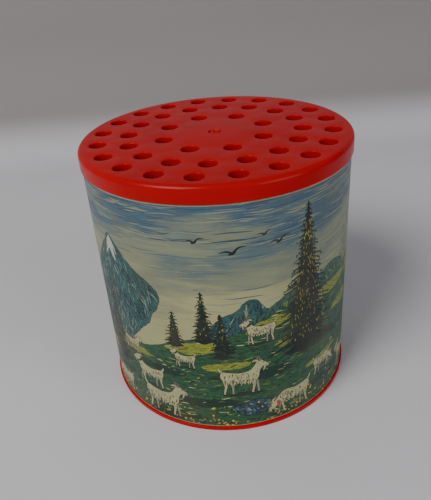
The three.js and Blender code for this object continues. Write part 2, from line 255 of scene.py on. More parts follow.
def red_plastic():
    """Glossy moulded styrene that lets a little light through, with rubbed scuffs and faint flow marks."""
    s = Shader("red_plastic")
    where = s.place()
    cloud = s.spread(s.noise(where, 60, 2), 0.35, 0.65)
    flow = s.noise(s.place((1, 1, 6)), 220, 4, distort=0.6)
    base = s.mix(cloud, linear("ae0009"), linear("b6010a"))
    base = s.mix(s.spread(flow, 0.62, 0.8, 0, 0.25), base, linear("a00104"))
    scuffs = s.noise(s.place((1, 5, 1), 0.6), 900, 5, 0.7)
    worn = s.spread(scuffs, 0.6, 0.75)
    smear = s.spread(s.noise(where, 90, 4), 0.3, 0.75, 0.27, 0.33)
    s.set(Base_Color=base, Roughness=s.math("ADD", smear, s.math("MULTIPLY", worn, 0.1)), IOR=1.5)
    s.set(Subsurface_Weight=0.15, Subsurface_Radius=(0.9, 0.04, 0.03), Subsurface_Scale=1.6 * MM)
    ripple = s.bump(s.noise(where, 110, 2), 0.05, 0.25 * MM)
    s.set(Normal=s.bump(s.noise(where, 2600, 3), 0.06, 0.02 * MM, ripple))
    s.set(Specular_IOR_Level=0.14)
    return s.material


def felt():
    s = Shader("felt")
    where = s.place()
    fibre = s.noise(where, 2400, 6, 0.75, 1.5)
    base = s.mix(s.spread(fibre, 0.35, 0.7), linear("4c5044"), linear("7d8068"))
    base = s.mix(s.spread(s.noise(where, 350, 3), 0.5, 0.75, 0, 0.5), base, linear("5d604f"))
    s.set(Base_Color=base, Roughness=0.95, Sheen_Weight=0.4, Sheen_Roughness=0.5)
    s.set(Normal=s.bump(fibre, 0.8, 0.25 * MM))
    return s.material


def ivory_plastic():
    s = Shader("ivory_plastic")
    where = s.place()
    ageing_and_painted_shade = s.spread(s.noise(where, 70, 3), 0.35, 0.7)
    base = s.mix(ageing_and_painted_shade, linear("e9e3cf"), linear("d9cda9"))
    dust = s.spread(s.noise(where, 500, 5, 0.7), 0.6, 0.8, 0, 0.35)
    s.set(Base_Color=s.mix(dust, base, linear("a79d84")), Roughness=s.spread(ageing_and_painted_shade, 0, 1, 0.42, 0.56))
    s.set(Normal=s.bump(s.noise(where, 1500, 3), 0.15, 0.05 * MM), Subsurface_Weight=0.08)
    s.set(Subsurface_Radius=(0.6, 0.5, 0.3), Subsurface_Scale=1 * MM)
    return s.material


def cast_iron():
    s = Shader("cast_iron")
    where = s.place()
    grain = s.noise(where, 1300, 6, 0.7)
    rust = s.spread(s.noise(where, 260, 5, 0.65), 0.56, 0.72)
    base = s.mix(s.spread(grain, 0.3, 0.7), linear("3a3735"), linear("5c5752"))
    s.set(Base_Color=s.mix(rust, base, linear("6b4630")), Metallic=s.spread(rust, 0, 1, 0.85, 0.1))
    s.set(Roughness=s.spread(grain, 0.3, 0.7, 0.5, 0.75), Normal=s.bump(grain, 0.7, 0.2 * MM))
    return s.material


def turned_metal(name, light, dark, roughness, stretch):
    """Bright metal with fine marks left by a lathe or rollers, stretched one way."""
    s = Shader(name)
    marks = s.noise(s.place(stretch), 1800, 4, 0.6)
    stain = s.spread(s.noise(s.place(), 240, 4), 0.5, 0.75)
    base = s.mix(s.spread(marks, 0.35, 0.65), linear(light), linear(dark))
    s.set(Base_Color=s.mix(s.math("MULTIPLY", stain, 0.5), base, linear(dark)), Metallic=1.0)
    s.set(Roughness=s.spread(stain, 0, 1, roughness, roughness + 0.18))
    s.set(Normal=s.bump(marks, 0.2, 0.03 * MM))
    return s.material


def rubber():
    s = Shader("rubber")
    bloom = s.spread(s.noise(s.place(), 420, 4), 0.45, 0.75)
    s.set(Base_Color=s.mix(bloom, linear("1c1c1d"), linear("343332")), Roughness=0.8)
    s.set(Normal=s.bump(s.noise(s.place(), 2600, 3), 0.3, 0.05 * MM))
    return s.material


def bellows_cloth():
    """Thin coated cloth: a fine weave, worn paler in random patches."""
    s = Shader("bellows_cloth")
    inputs = {"Vector": s.place(), "Scale": 420.0, "Distortion": 2.0}
    weave = s.node("ShaderNodeTexWave", inputs).outputs[1]
    rub = s.spread(s.noise(s.place(), 300, 5, 0.7), 0.5, 0.75)
    base = s.mix(weave, linear("2b2521"), linear("3c342d"))
    s.set(Base_Color=s.mix(s.math("MULTIPLY", rub, 0.6), base, linear("6a5d4e")), Roughness=0.62)
    s.set(Normal=s.bump(weave, 0.35, 0.06 * MM), Sheen_Weight=0.15)
    return s.material


# --- Box pieces ---


def circle(radius, sides, centre=0j, turn=0.0):
    return [centre + cmath.rect(radius, turn + TURN * k / sides) for k in range(sides)]


def hole_centres():
    for count, radius, start in HOLE_RINGS:
        for i in range(count):
            yield cmath.rect(radius, LID_TURN + start + TURN * i / count)


def lid(material):
    """The cap: a plate with rounded hole edges, a rounded rim and a skirt, all one closed surface."""
    sides, hole_sides, scar_sides, lip_steps = CUP_SIDES, 32, 28, 4
    vertices, faces = [], []

    def loop(points, height):
        first = len(vertices)
        vertices.extend((p.real, p.imag, height) for p in points)
        return list(range(first, first + len(points)))

    def band(lower, upper):
        """Faces between two loops; lower to upper turns outwards when both run anticlockwise."""
        for k in range(len(lower)):
            n = (k + 1) % len(lower)
            faces.append((lower[k], lower[n], upper[n], upper[k]))

    def plate(outer, holes, up):
        """Triangles between an outer loop and hole loops."""
        order = outer + [v for hole in holes for v in hole]
        flat = [Vector(vertices[v][:2]) for v in order]
        rings = [list(range(len(outer)))]
        for hole in holes:
            first = rings[-1][-1] + 1
            rings.append(list(range(first, first + len(hole))))
        made = delaunay_2d_cdt(flat, [], rings, 0, 1e-6)
        for triangle, inside in zip(made[2], made[5]):
            if inside == [0]:
                ids = [order[made[3][v][0]] for v in triangle]
                faces.append(tuple(ids if up else reversed(ids)))

    # The outside, from the skirt's inner edge round to the top
    skirt_bottom = LID_LOW.z
    inner_top = LID_TOP - LID_PLATE
    edge = [(LID_SKIRT_INNER, inner_top), (LID_SKIRT_INNER, skirt_bottom + 0.25)]
    edge += [(LID_SKIRT_INNER + 0.25, skirt_bottom), (LID_RADIUS - 0.2, skirt_bottom)]
    edge += [(LID_RADIUS, skirt_bottom + 0.2)]
    for k in range(9):
        a = math.pi / 2 * k / 8
        radius = LID_RADIUS - LID_EDGE_ROUND * (1 - math.cos(a))
        edge.append((radius, LID_TOP - LID_EDGE_ROUND * (1 - math.sin(a))))
    loops = [loop(circle(r, sides), z) for r, z in edge]
    for lower, upper in zip(loops, loops[1:]):
        band(lower, upper)
    # Each hole, from the rounded lip on top, down its wall, to a sharper edge below
    tops, bottoms = [], []
    for centre in hole_centres():
        rings = []
        for k in range(lip_steps + 1):
            a = math.pi / 2 * k / lip_steps
            radius = HOLE_RADIUS + HOLE_LIP * (1 - math.sin(a))
            rings.append(loop(circle(radius, hole_sides, centre), LID_TOP - HOLE_LIP * (1 - math.cos(a))))
        rings.append(loop(circle(HOLE_RADIUS * 0.99, hole_sides, centre), inner_top + 0.05))
        rings.append(loop(circle(HOLE_RADIUS + 0.05, hole_sides, centre), inner_top))
        for upper, lower in zip(rings, rings[1:]):
            band(upper, lower)
        tops.append(rings[0])
        bottoms.append(rings[-1])
    # The rough mark that the moulding gate left in the middle
    rng = random.Random(3)
    scar = [loop(circle(GATE_SCAR[0][0], scar_sides), LID_TOP)]
    for radius, drop in GATE_SCAR[1:]:
        scar.append(loop([p * rng.uniform(0.93, 1.07) for p in circle(radius, scar_sides)], LID_TOP - drop))
    for outer, inner in zip(scar, scar[1:]):
        band(outer, inner)
    faces.append(tuple(scar[-1]))
    plate(loops[-1], tops + scar[:1], True)
    plate(loops[0], bottoms, False)
    return crisp(add_object("perforated_lid", vertices, faces, [material]), 40)


def housing_cup(material):
    """The cup: a foot ring and flange, the wall under the paper, the neck with its snap bead, the bore."""
    section = [
        (0, 0.55), (1.4, 0.55), (1.4, 0.9), (28.2, 0.9), (28.65, 0, 0.1), (FLANGE, 0, 0.4),
        (FLANGE, 1.15, 0.15), (WALL, 1.15, 0.1), (WALL, WALL_TOP, 0.2), (NECK, WALL_TOP, 0.2),
        (NECK, 60.5, 0.1), (BEAD, 60.8, 0.1), (BEAD, 61.2, 0.1), (NECK, NECK_TOP, 0.15),
        (BORE, NECK_TOP, 0.3), (BORE, 3.4), (28.1, CUP_FLOOR), (SEAT_OUTER, CUP_FLOOR),
        (SEAT_OUTER, 4.4), (SEAT_INNER, 4.4), (SEAT_INNER, CUP_FLOOR), (0, CUP_FLOOR),
    ]
    return lathe("housing_shell", rounded(section), [material], CUP_SIDES)


# --- Inner pieces ---

CARRIER_LOW, CARRIER_HIGH = low_high("weight_carrier")
CARRIER_BASE = CARRIER_LOW.z + SEAT_HEIGHT
RIM_LOW, RIM_HIGH = low_high("guide_rim")
BELLOWS_LOW, BELLOWS_HIGH = low_high("bellows")
CUFF_INNER, CUFF_HEIGHT = 20.1, 2.1
PLEATS, PLEAT_VALLEY, PLEAT_PEAK = 4, 19.4, 25.8
SKIN = 0.4


def ring_piece(name, inner, material, node, radius=0.25):
    """A ring with rounded corners that fills a node's box, with a hole of the given radius."""
    low, high = low_high(node)
    section = [(inner, low.z), (high.x, low.z), (high.x, high.z), (inner, high.z)]
    return lathe(name, rounded(section, radius), [material])


def carrier_plate(material):
    """The carrier's plate, with the hole for the reed tube and the bellows seat below."""
    rim, base, top = CARRIER_HIGH.x, CARRIER_BASE, CARRIER_HIGH.z
    section = [
        (PLATE_HOLE, base), (SEAT_INNER, base), (SEAT_INNER, base - SEAT_HEIGHT),
        (SEAT_OUTER, base - SEAT_HEIGHT), (SEAT_OUTER, base), (rim, base, 0.7), (rim, top, 0.05),
        (PLATE_HOLE, top),
    ]
    return lathe("carrier_plate", rounded(section), [material])


def guide_rim(material):
    """The guide rim, with its lip turned in at the top."""
    rim, low, top = RIM_HIGH.x, RIM_LOW.z, RIM_HIGH.z
    section = [
        (rim - 1.3, low, 0.05), (rim, low, 0.05), (rim, top, 0.35), (22.9, top, 0.3), (22.9, top - 1, 0.3),
        (rim - 1.3, top - 1, 0.4),
    ]
    return lathe("guide_rim_lip", rounded(section), [material])


def horn(material):
    """The horn: a flange on the reed unit and a wall that flares to a rolled mouth."""
    low, high = low_high("resonator_horn")
    flare = []
    for k in range(13):
        t = k / 12
        flare.append((2.8 + 6.8 * t**2.1, low.z + (high.z - low.z) * t))
    wall = 0.9
    outer = [(r + wall, z) for r, z in flare if z > low.z + 0.9]
    outer[-1] = (high.x, high.z)
    section = [flare[0], (8.6, low.z), (8.6, low.z + 0.8), (outer[0][0], low.z + 0.8)] + outer + flare[:0:-1]
    return lathe("horn_flare", rounded(section, 0.12, 2), [material])


def pleated_skin(material):
    """The bellows: a cuff at each end and soft folds between."""
    low, high = BELLOWS_LOW.z, BELLOWS_HIGH.z
    bottom, top = low + CUFF_HEIGHT, high - CUFF_HEIGHT
    steps = PLEATS * 12
    middle = [(CUFF_INNER + SKIN / 2, low), (CUFF_INNER + SKIN / 2, bottom)]
    for k in range(1, steps):
        t = k / steps
        swing = (1 - math.cos(TURN * PLEATS * t)) / 2
        radius = PLEAT_VALLEY + 0.5 + (PLEAT_PEAK - PLEAT_VALLEY - 0.9) * swing**0.8
        middle.append((radius, bottom + (top - bottom) * t))
    middle += [(CUFF_INNER + SKIN / 2, top), (CUFF_INNER + SKIN / 2, high)]
    outer, inner = [], []
    last = len(middle) - 1
    for i, (r, z) in enumerate(middle):
        before, after = middle[max(0, i - 1)], middle[min(last, i + 1)]
        along = complex(after[0] - before[0], after[1] - before[1])
        side = -1j * along / abs(along) * SKIN / 2
        outer.append((r + side.real, min(high, max(low, z + side.imag))))
        inner.append((r - side.real, min(high, max(low, z - side.imag))))
    return lathe("pleated_skin", outer + inner[::-1], [material])


def guide_pad(name, material, node):
    """A felt pad bent round the guide rim, with soft edges."""
    low, high = low_high(node)
    points = [v.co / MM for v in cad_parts[node].data.vertices]
    middle = sum((complex(p.x, p.y) for p in points), 0j)
    angle = cmath.phase(middle)
    half = math.radians(13)
    inner, outer = 28.25, 28.75
    edge, rows, columns = 0.18, 12, 24
    vertices, faces = [], []

    def sheet(radius):
        first = len(vertices)
        for i in range(rows + 1):
            for j in range(columns + 1):
                a = angle + half * (2 * j / columns - 1)
                z = low.z + (high.z - low.z) * i / rows
                rim = min(i, rows - i, j, columns - j) == 0
                r = radius - (edge if rim and radius == outer else 0)
                vertices.append((r * math.cos(a), r * math.sin(a), z))
        return first

    def index(first, i, j):
        return first + i * (columns + 1) + j

    near, far = sheet(inner), sheet(outer)
    for i in range(rows):
        for j in range(columns):
            square = [(i, j), (i, j + 1), (i + 1, j + 1), (i + 1, j)]
            faces.append([index(far, *s) for s in square])
            faces.append([index(near, *s) for s in reversed(square)])
    loop = [(0, j) for j in range(columns)] + [(i, columns) for i in range(rows)]
    loop += [(rows, j) for j in range(columns, 0, -1)] + [(i, 0) for i in range(rows, 0, -1)]
    for a, b in edges_of(loop):
        faces.append([index(near, *a), index(near, *b), index(far, *b), index(far, *a)])
    return crisp(add_object(name, vertices, faces, [material]), 50)


def dress_node(node, material):
    """A node whose own shape is right gets a better material."""
    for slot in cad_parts[node].material_slots:
        slot.material = material


# --- Drawing the print ---
# Points are complex numbers in millimetres: u + v*1j, with u round the wall from the middle of the front,
# towards +X, and v up from the paper's lower edge. Shapes are painted in order, each over the ones before.

shapes = []


def double_area(outline):
    """Twice an outline's area, positive where it runs anticlockwise."""
    return sum((a.conjugate() * b).imag for a, b in edges_of(outline))


def fill(ink, outline):
    area = double_area(outline)
    if abs(area) > 0.004:
        shapes.append((ink, outline if area > 0 else outline[::-1]))


def panel(left, low, right, high):
    """A rectangle's corners."""
    return [complex(left, low), complex(right, low), complex(right, high), complex(left, high)]


def curve(points, steps=4, closed=False):
    """A smooth line through points."""
    count = len(points)
    line = []
    for i in range(count if closed else count - 1):
        picks = [i - 1, i, i + 1, i + 2]
        picks = [p % count for p in picks] if closed else [max(0, min(count - 1, p)) for p in picks]
        a, b, c, d = (points[p] for p in picks)
        for k in range(steps):
            t = k / steps
            bend = (2 * a - 5 * b + 4 * c - d) * t * t + (3 * b - a - 3 * c + d) * t**3
            line.append(b + ((c - a) * t + bend) / 2)
    return line if closed else line + [points[-1]]


def brush(ink, points, width, root=0.0, steps=3):
    """A stroke that tapers at both ends, or only at its tip if root is 1."""
    line = curve(points, steps)
    last = len(line) - 1
    left, right = [], []
    for i, p in enumerate(line):
        along = line[min(i + 1, last)] - line[max(i - 1, 0)]
        if along == 0:
            continue
        thick = max(0.12, math.sin(math.pi * (i / last + root) / (1 + root))) ** 0.7
        side = 1j * along / abs(along) * width / 2 * thick
        left.append(p + side)
        right.append(p - side)
    fill(ink, left + right[::-1])


def stroke(ink, start, end, bow, width, root=0.0, steps=3):
    """A brush stroke between two places, bowed at its middle."""
    brush(ink, [start, (start + end) / 2 + bow, end], width, root, steps)


def grown(outline, amount, rng):
    """An outline pushed out along its normals by an uneven amount, as an inked contour."""
    sign = -1 if double_area(outline) > 0 else 1
    made = []
    for i, p in enumerate(outline):
        along = outline[(i + 1) % len(outline)] - outline[i - 1]
        along = along / abs(along) if along else 1
        made.append(p + sign * 1j * along * amount * rng.uniform(0.55, 1.35))
    return made


def rough(points, step, amount, rng):
    """A line through points with small uneven steps, for rock, turf and foliage."""
    line = curve(points, 4)
    made = [line[0]]
    for p in line[1:]:
        pieces = max(1, round(abs(p - made[-1]) / step))
        start = made[-1]
        for k in range(1, pieces + 1):
            jitter = complex(rng.uniform(-1, 1), rng.uniform(-1, 1)) * amount
            made.append(start + (p - start) * k / pieces + jitter)
    return made


def inside(p, outline):
    """Whether an outline winds round a point."""
    turns = 0
    for a, b in edges_of(outline):
        if (a.imag > p.imag) != (b.imag > p.imag):
            if p.real < a.real + (p.imag - a.imag) / (b.imag - a.imag) * (b.real - a.real):
                turns += 1 if b.imag > a.imag else -1
    return turns != 0


def scatter(outline, count, rng):
    """Random places inside an outline."""
    us, vs = [p.real for p in outline], [p.imag for p in outline]
    while count:
        p = complex(rng.uniform(min(us), max(us)), rng.uniform(min(vs), max(vs)))
        if inside(p, outline):
            count -= 1
            yield p


def under(ridge, floor):
    """The area below a ridge line, down to a level."""
    return ridge + [complex(ridge[-1].real, floor), complex(ridge[0].real, floor)]


LEFT, RIGHT = -PAPER_HALF - 1, PAPER_HALF + PAPER_LAP + 1
FRONT = 48  # how far round to either side the print is drawn at its finest


def anywhere(low, high, rng):
    """A random place round the paper, between two heights."""
    return complex(rng.uniform(LEFT, RIGHT), rng.uniform(low, high))


def wobbly(centre, width, height, count, reach, rng, lean=0.0):
    """An ellipse's points, each pushed in or out by a share between the two in reach."""
    spots = []
    for k in range(count):
        a = TURN * k / count
        p = complex(math.cos(a) * width / 2, math.sin(a) * height / 2) * rng.uniform(*reach)
        spots.append(centre + p + 1j * p.real * lean)
    return spots


def blob(ink, centre, width, height, rng, lean=0.0):
    """A patch with a ragged edge."""
    spots = wobbly(centre, width, height, 12, (0.75, 1.15), rng, lean)
    fill(ink, rough(spots + spots[:1], 0.7, 0.1, rng)[:-1])


def sky(rng):
    """A flat wash with level streaks: close and strong near the top, sparse and pale below."""
    high_inks = ("cloud", "sky_deep", "cloud", "sky_deep", "sky_mid")
    fill("sky", panel(LEFT, -1, RIGHT, PAPER_HEIGHT + 1))
    for _ in range(440):
        drop = abs(rng.gauss(0, 9.5))
        start = complex(rng.uniform(LEFT, RIGHT), PAPER_HEIGHT - drop)
        length = rng.uniform(2.5, 11)
        bow = rng.uniform(-0.35, 0.5)
        rise = rng.uniform(-0.02, 0.05) * length
        ink = rng.choice(high_inks if drop < 9 else ("cloud", "sky_mid"))
        width = rng.uniform(0.1, 0.28) * (1.25 if ink == "cloud" else 1)
        brush(ink, [start, start + length / 2 + bow * 1j, start + length + rise * 1j], width)
    for _ in range(150):
        start = anywhere(31, 49, rng)
        length = rng.uniform(4, 12)
        bow = rng.uniform(-0.2, 0.4) * 1j
        ink = rng.choice(("haze", "sky_mid", "cloud"))
        brush(ink, [start, start + length / 2 + bow, start + length], rng.uniform(0.1, 0.3))


def mountain(ridge, floor, summit, counts, rng, inks=("peak", "peak_dark", "peak_lit")):
    """A massif with strokes that run down and away from its summit."""
    base, dark, lit = inks
    outline = under(rough(ridge, 0.7, 0.16, rng), floor)
    fill("line", grown(outline, 0.12, rng))
    fill(base, outline)
    layers = ((dark, counts, 0.34), (lit, counts // 2, 0.26), ("line", counts * 2 // 3, 0.2))
    for ink, count, width in layers:
        for p in scatter(outline, count, rng):
            away = p - summit - 6j
            away = away / (abs(away) + 0.1) * cmath.rect(rng.uniform(0.9, 3.2), rng.uniform(-0.5, 0.5))
            q = p + away
            if inside(q, outline):
                stroke(ink, p, q, rng.uniform(-0.2, 0.2), width * rng.uniform(0.6, 1.4), 0, 2)


def snow(summit, reach, rng):
    """Snow that runs down from a summit."""
    for k in range(9):
        start = summit + complex(rng.uniform(-0.5, 0.5), -0.2 - 0.25 * k)
        fall = cmath.rect(reach * rng.uniform(0.4, 1), math.radians(rng.uniform(-125, -52)))
        points = [start, start + fall * 0.5 + rng.uniform(-0.2, 0.2), start + fall]
        brush("snow", points, rng.uniform(0.35, 0.8), 0.5)


def fir(foot, height, spread, rows, rng, lit=0):
    """A spruce: ragged drooping boughs from the top down, with the light caught on some of its shoots."""

    def spot(share, reach=0.0):
        return foot + complex(reach, height * (1 - 0.93 * share))

    def flank(side):
        for k in range(rows):
            share = (k + 0.6) / rows
            reach = side * spread * share**0.9 * rng.uniform(0.9, 1.1)
            yield spot(share, reach * 0.36) + 0.25j
            yield spot(share, reach * 0.7) - 0.22j * abs(reach)

    trunk = [foot + 0.02 * height, foot - 0.02 * height]
    fill("fir", [spot(0, 0)] + list(flank(1)) + trunk + list(flank(-1))[::-1])
    brush("fir", [spot(0.22), spot(0.05), foot + height * 1.01j], 0.05 * spread + 0.4, 1)
    for row in range(rows):
        share = (row + 0.3) / rows
        for side in (-1, 1):
            reach = side * (spread * share**0.9 * rng.uniform(0.72, 1.15) + 0.12)
            sag = -1j * abs(reach) * rng.uniform(0.18, 0.42)
            bough = [spot(share) + 0.35j, spot(share, reach * 0.5) + sag * 0.35, spot(share, reach) + sag]
            brush("fir", bough, height / rows * rng.uniform(0.7, 1.05) * (0.3 + 0.7 * share), 1, 2)
            for _ in range(1 + int(abs(reach) * (1.2 if lit > 100 else 0.7))):
                along = rng.uniform(0.35, 1)
                twig = spot(share, reach * along) + sag * along**1.6
                hang = complex(side * rng.uniform(0.1, 0.75), rng.uniform(-0.95, 0.4))
                brush("fir", [twig, twig + hang * 0.6, twig + hang], 0.28, 1, 2)
    for _ in range(rows * 2):
        share = rng.uniform(0.12, 0.97)
        p = spot(share, rng.uniform(-0.8, 0.7) * spread * share)
        q = p + complex(rng.uniform(-0.9, 0.9), -0.9)
        stroke("fir_mid", p, q, 0.1, rng.uniform(0.14, 0.24), 0, 2)
    for _ in range(lit):
        share = rng.uniform(0.1, 0.95)
        p = spot(share, rng.uniform(-0.55, 0.8) * spread * share)
        shoot = [p, p - complex(0.04, 0.3), p - rng.uniform(0.45, 0.85) * 1j]
        brush("fir_lit", shoot, rng.uniform(0.12, 0.22), 0, 2)


# A goat's outlines, from its rump over its back to its head and back along its belly
STANDING = [
    0.9 + 8.2j, 2.6 + 8j, 5.2 + 7.6j, 7.6 + 7.9j, 8.9 + 8.6j, 9.8 + 9.9j, 10.5 + 10.9j, 11.4 + 11.2j,
    12.2 + 10.5j, 13.4 + 9.5j, 13.6 + 8.9j, 13 + 8.6j, 12 + 8.8j, 11.3 + 8.1j, 10.9 + 7j, 10.7 + 5.6j,
    9.6 + 4.4j, 6.4 + 4j,
    3.4 + 4.4j, 1.6 + 4.8j, 0.5 + 6.4j,
]
GRAZING = STANDING[:3] + [
    7.8 + 8.1j, 9.3 + 7.9j, 10.6 + 6.9j, 11.7 + 5.5j, 12.6 + 4.7j, 13.4 + 3.3j, 14 + 2.1j, 13.7 + 1.6j,
    13 + 1.8j, 12.2 + 2.7j, 11.4 + 3.2j, 10.8 + 4.1j, 10.2 + 4.6j,
] + STANDING[16:]
RESTING = [
    0.5 + 2.6j, 2.2 + 4.5j, 5.2 + 5.1j, 7.6 + 5.1j, 8.8 + 6.1j, 9.5 + 7.4j, 10.3 + 8.4j, 11.2 + 8.5j,
    12 + 7.9j, 13.1 + 7j, 13.2 + 6.4j, 12.4 + 6.2j, 11.5 + 6.4j, 11 + 5.2j, 10.9 + 3.4j, 12 + 1.1j,
    11 + 0.4j, 6 + 0j,
    2.2 + 0.1j, 0.2 + 1.1j,
]
# Each pose: its body's outline, the place and turn of its head, and how far it has sunk to the ground
POSES = {
    "standing": (STANDING, 11.3 + 10j, 0, 0),
    "grazing": (GRAZING, 12.3 + 3.9j, -0.95, 0),
    "resting": (RESTING, 11 + 7.5j, 0, 4j),
}


def goat(foot, size, rng, pose="standing", faces=1, horns=True, collar=None):
    """A white goat with an inked contour and hanging hair; size is millimetres per unit of its outline."""
    outline, head, nod, sunk = POSES[pose]

    def put(points):
        centred = [p - 7 for p in points]
        return [foot + size * (p if faces > 0 else -p.conjugate()) for p in centred]

    def at(*spots):
        return put([head + p * cmath.rect(1, nod) for p in spots])

    def inked(ink, points, width, root=1.0):
        """A stroke with a dark edge."""
        brush("line", points, width * size + 0.2, root)
        brush(ink, points[:-1] + [points[-2] * 0.2 + points[-1] * 0.8], width * size, root)

    def leg(ink, hip, hoof, top):
        knee = (hip + hoof) / 2 + 0.3
        front = [hip - 0.85 + top * 1j, knee - 0.36 + 2.9j, hoof - 0.24 + 0.9j, hoof - 0.36]
        rear = [hoof + 0.5, hoof + 0.26 + 0.9j, knee + 0.3 + 2.9j, hip + 0.85 + (top - 0.4) * 1j]
        limb = put(front + rear)
        fill("line", grown(limb, 0.14, rng))
        fill(ink, limb)
        fill("line", put([hoof - 0.4 + 0.45j, hoof - 0.42 - 0.1j, hoof + 0.55 - 0.1j, hoof + 0.4 + 0.45j]))

    blob("meadow_dark", foot + 0.15j, 12 * size, 1.5 * size, rng)
    inked("goat", put([1.1 + 8j - sunk, 0.3 + 9j - sunk, 0.1 + 10j - sunk]), 0.7)
    standing = pose != "resting"
    if standing:
        leg("goat_shade", 3.2, 3.7, 5)
        leg("goat_shade", 9.7, 10.6, 5)
    body = put(curve(outline, 3, closed=True))
    fill("line", grown(body, 0.16, rng))
    if standing:
        leg("goat", 1.8, 1.4, 5.6)
        leg("goat", 9.3, 9.0, 5.6)
        for k in range(9):
            lock = complex(2.4 + 0.9 * k, 4.9) + rng.uniform(-0.3, 0.3)
            inked("goat", put([lock, lock - 0.15 - 0.8j, lock - 0.4 - rng.uniform(1.3, 2) * 1j]), 0.5)
    fill("goat", body)
    for k in range(7):
        lock = complex(2 + 1.2 * k, 5.3) - sunk + rng.uniform(-0.3, 0.3)
        brush("goat_shade", put([lock, lock - 0.2 - 0.5j, lock - 0.5 - 1.1j]), 0.55 * size, 0.3, 2)
    for _ in range(38 if abs(foot.real) < FRONT else 18):
        across = rng.uniform(1.1, 10.4)
        start = complex(across, rng.choice((4.6, 5.2, 6.4, 7.2)) + rng.uniform(-0.4, 0.3)) - sunk
        end = start + complex(rng.uniform(-0.5, 0.1), -rng.uniform(0.5, 1.3))
        if end.imag > 0:
            brush("line", put([start, (start + end) / 2 + 0.1, end]), 0.1 + 0.07 * size, 0.5, 2)
    if horns:
        for aside in (0.0, 0.6):
            inked("horn", at(-0.7 + aside + 0.7j, -0.9 + aside + 2j, -1.7 + aside + 2.9j), 0.42)
    inked("goat", at(-0.6 + 0.75j, -1.5 + 1.2j, -2.5 + 0.7j), 0.62, 0.2)
    inked("goat", at(1.2 - 1.1j, 1.0 - 2j, 0.6 - 2.9j), 0.5)
    fill("line", circle(0.1 + 0.09 * size, 6, at(0.75 + 0.25j)[0]))
    brush("line", at(2.35 - 1.05j, 1.9 - 1.0j, 1.4 - 1.1j), 0.16)
    if collar:
        brush(collar, at(-1.75 - 0.35j, -0.9 - 1.25j, 0.15 - 1.9j), 0.95 * size, 0.5)
        fill("line", circle(0.52 * size, 8, at(0.25 - 2.6j)[0]))
        fill("horn", circle(0.34 * size, 8, at(0.2 - 2.55j)[0]))


def bird(place, size):
    """A bird seen from afar, wings spread."""
    for side, lift in ((-1, 0.05), (1, 0.32)):
        wing = [0, side * 0.5 + (0.16 + lift) * 1j, side * 1.1 + lift * 1.6j]
        brush("line", [place + size * w for w in wing], 0.2 * size, 1)
    brush("line", [place + size * (-0.35 - 0.12j), place, place + size * (0.3 + 0.14j)], 0.26 * size)


def boulder(centre, width, height, rng):
    """A rock with its shaded and lit facets brushed in."""
    outline = curve(wobbly(centre, width, height, 14, (0.82, 1.12), rng), 2, closed=True)
    fill("line", grown(outline, 0.22, rng))
    fill("rock", outline)
    for ink, count, slope in (("rock_dark", 26, -0.7), ("rock_lit", 24, -0.5), ("line", 40, -0.9)):
        for p in scatter(outline, count, rng):
            if ink == "rock_lit" and p.imag < centre.imag - 0.1 * height:
                continue
            reach = cmath.rect(rng.uniform(0.4, 1.3), slope + rng.uniform(-0.5, 0.5))
            brush(ink, [p, p + reach * 0.5 + 0.06j, p + reach], rng.uniform(0.18, 0.42))


def tuft(ink, place, size, rng):
    """A few blades of grass."""
    for _ in range(4):
        tip = complex(rng.uniform(-0.5, 0.5), rng.uniform(0.6, 1.2)) * size
        brush(ink, [place, place + tip * 0.5 + 0.05j, place + tip], 0.17, 1, 2)


def flower(ink, place, size, rng):
    fill(ink, [place + cmath.rect(size * rng.uniform(0.55, 1.1), TURN * k / 7) for k in range(7)])


def hut(corner, size, rng):
    """A log cabin with a shingled roof."""

    def put(points):
        return [corner + size * p for p in points]

    wall = put(panel(0, 0, 9, 4))
    roof = put([-1 + 3.7j, 1.2 + 7.2j, 8.6 + 7.2j, 10.4 + 3.7j])
    fill("line", grown(wall, 0.15, rng))
    fill("wood", wall)
    for k in range(1, 6):
        brush("line", put([0.1 + 0.66j * k, 4.5 + 0.66j * k + 0.05j, 8.9 + 0.66j * k]), 0.12)
    fill("line", put(panel(3.4, 0, 5, 2.8)))
    for x in (1.3, 6.4):
        fill("line", put(panel(x, 1.2, x + 1.3, 2.5)))
        fill("goat", put(panel(x + 0.18, 1.4, x + 1.1, 2.3)))
    fill("line", grown(roof, 0.15, rng))
    fill("rock_dark", roof)
    for p in scatter(roof, 60, rng):
        brush("rock_lit" if rng.random() < 0.5 else "line", [p, p + 0.25, p + 0.6], 0.16, 0, 2)


def fence(start, end, posts, rng):
    """Two sagging rails on leaning posts."""
    for lift in (0.75, 1.4):
        rail = [start + lift * 1j, (start + end) / 2 + (lift - 0.25) * 1j, end + lift * 1j]
        brush("line", rail, 0.3)
        brush("wood", rail, 0.17)
    for k in range(posts):
        p = start + (end - start) * k / (posts - 1) + rng.uniform(-0.2, 0.2) - 0.2j
        brush("line", [p, p + 1j, p + (2.1 + rng.uniform(-0.2, 0.3)) * 1j], 0.46, 0.8)
        brush("wood", [p, p + 1j, p + 1.9j], 0.26, 0.8)


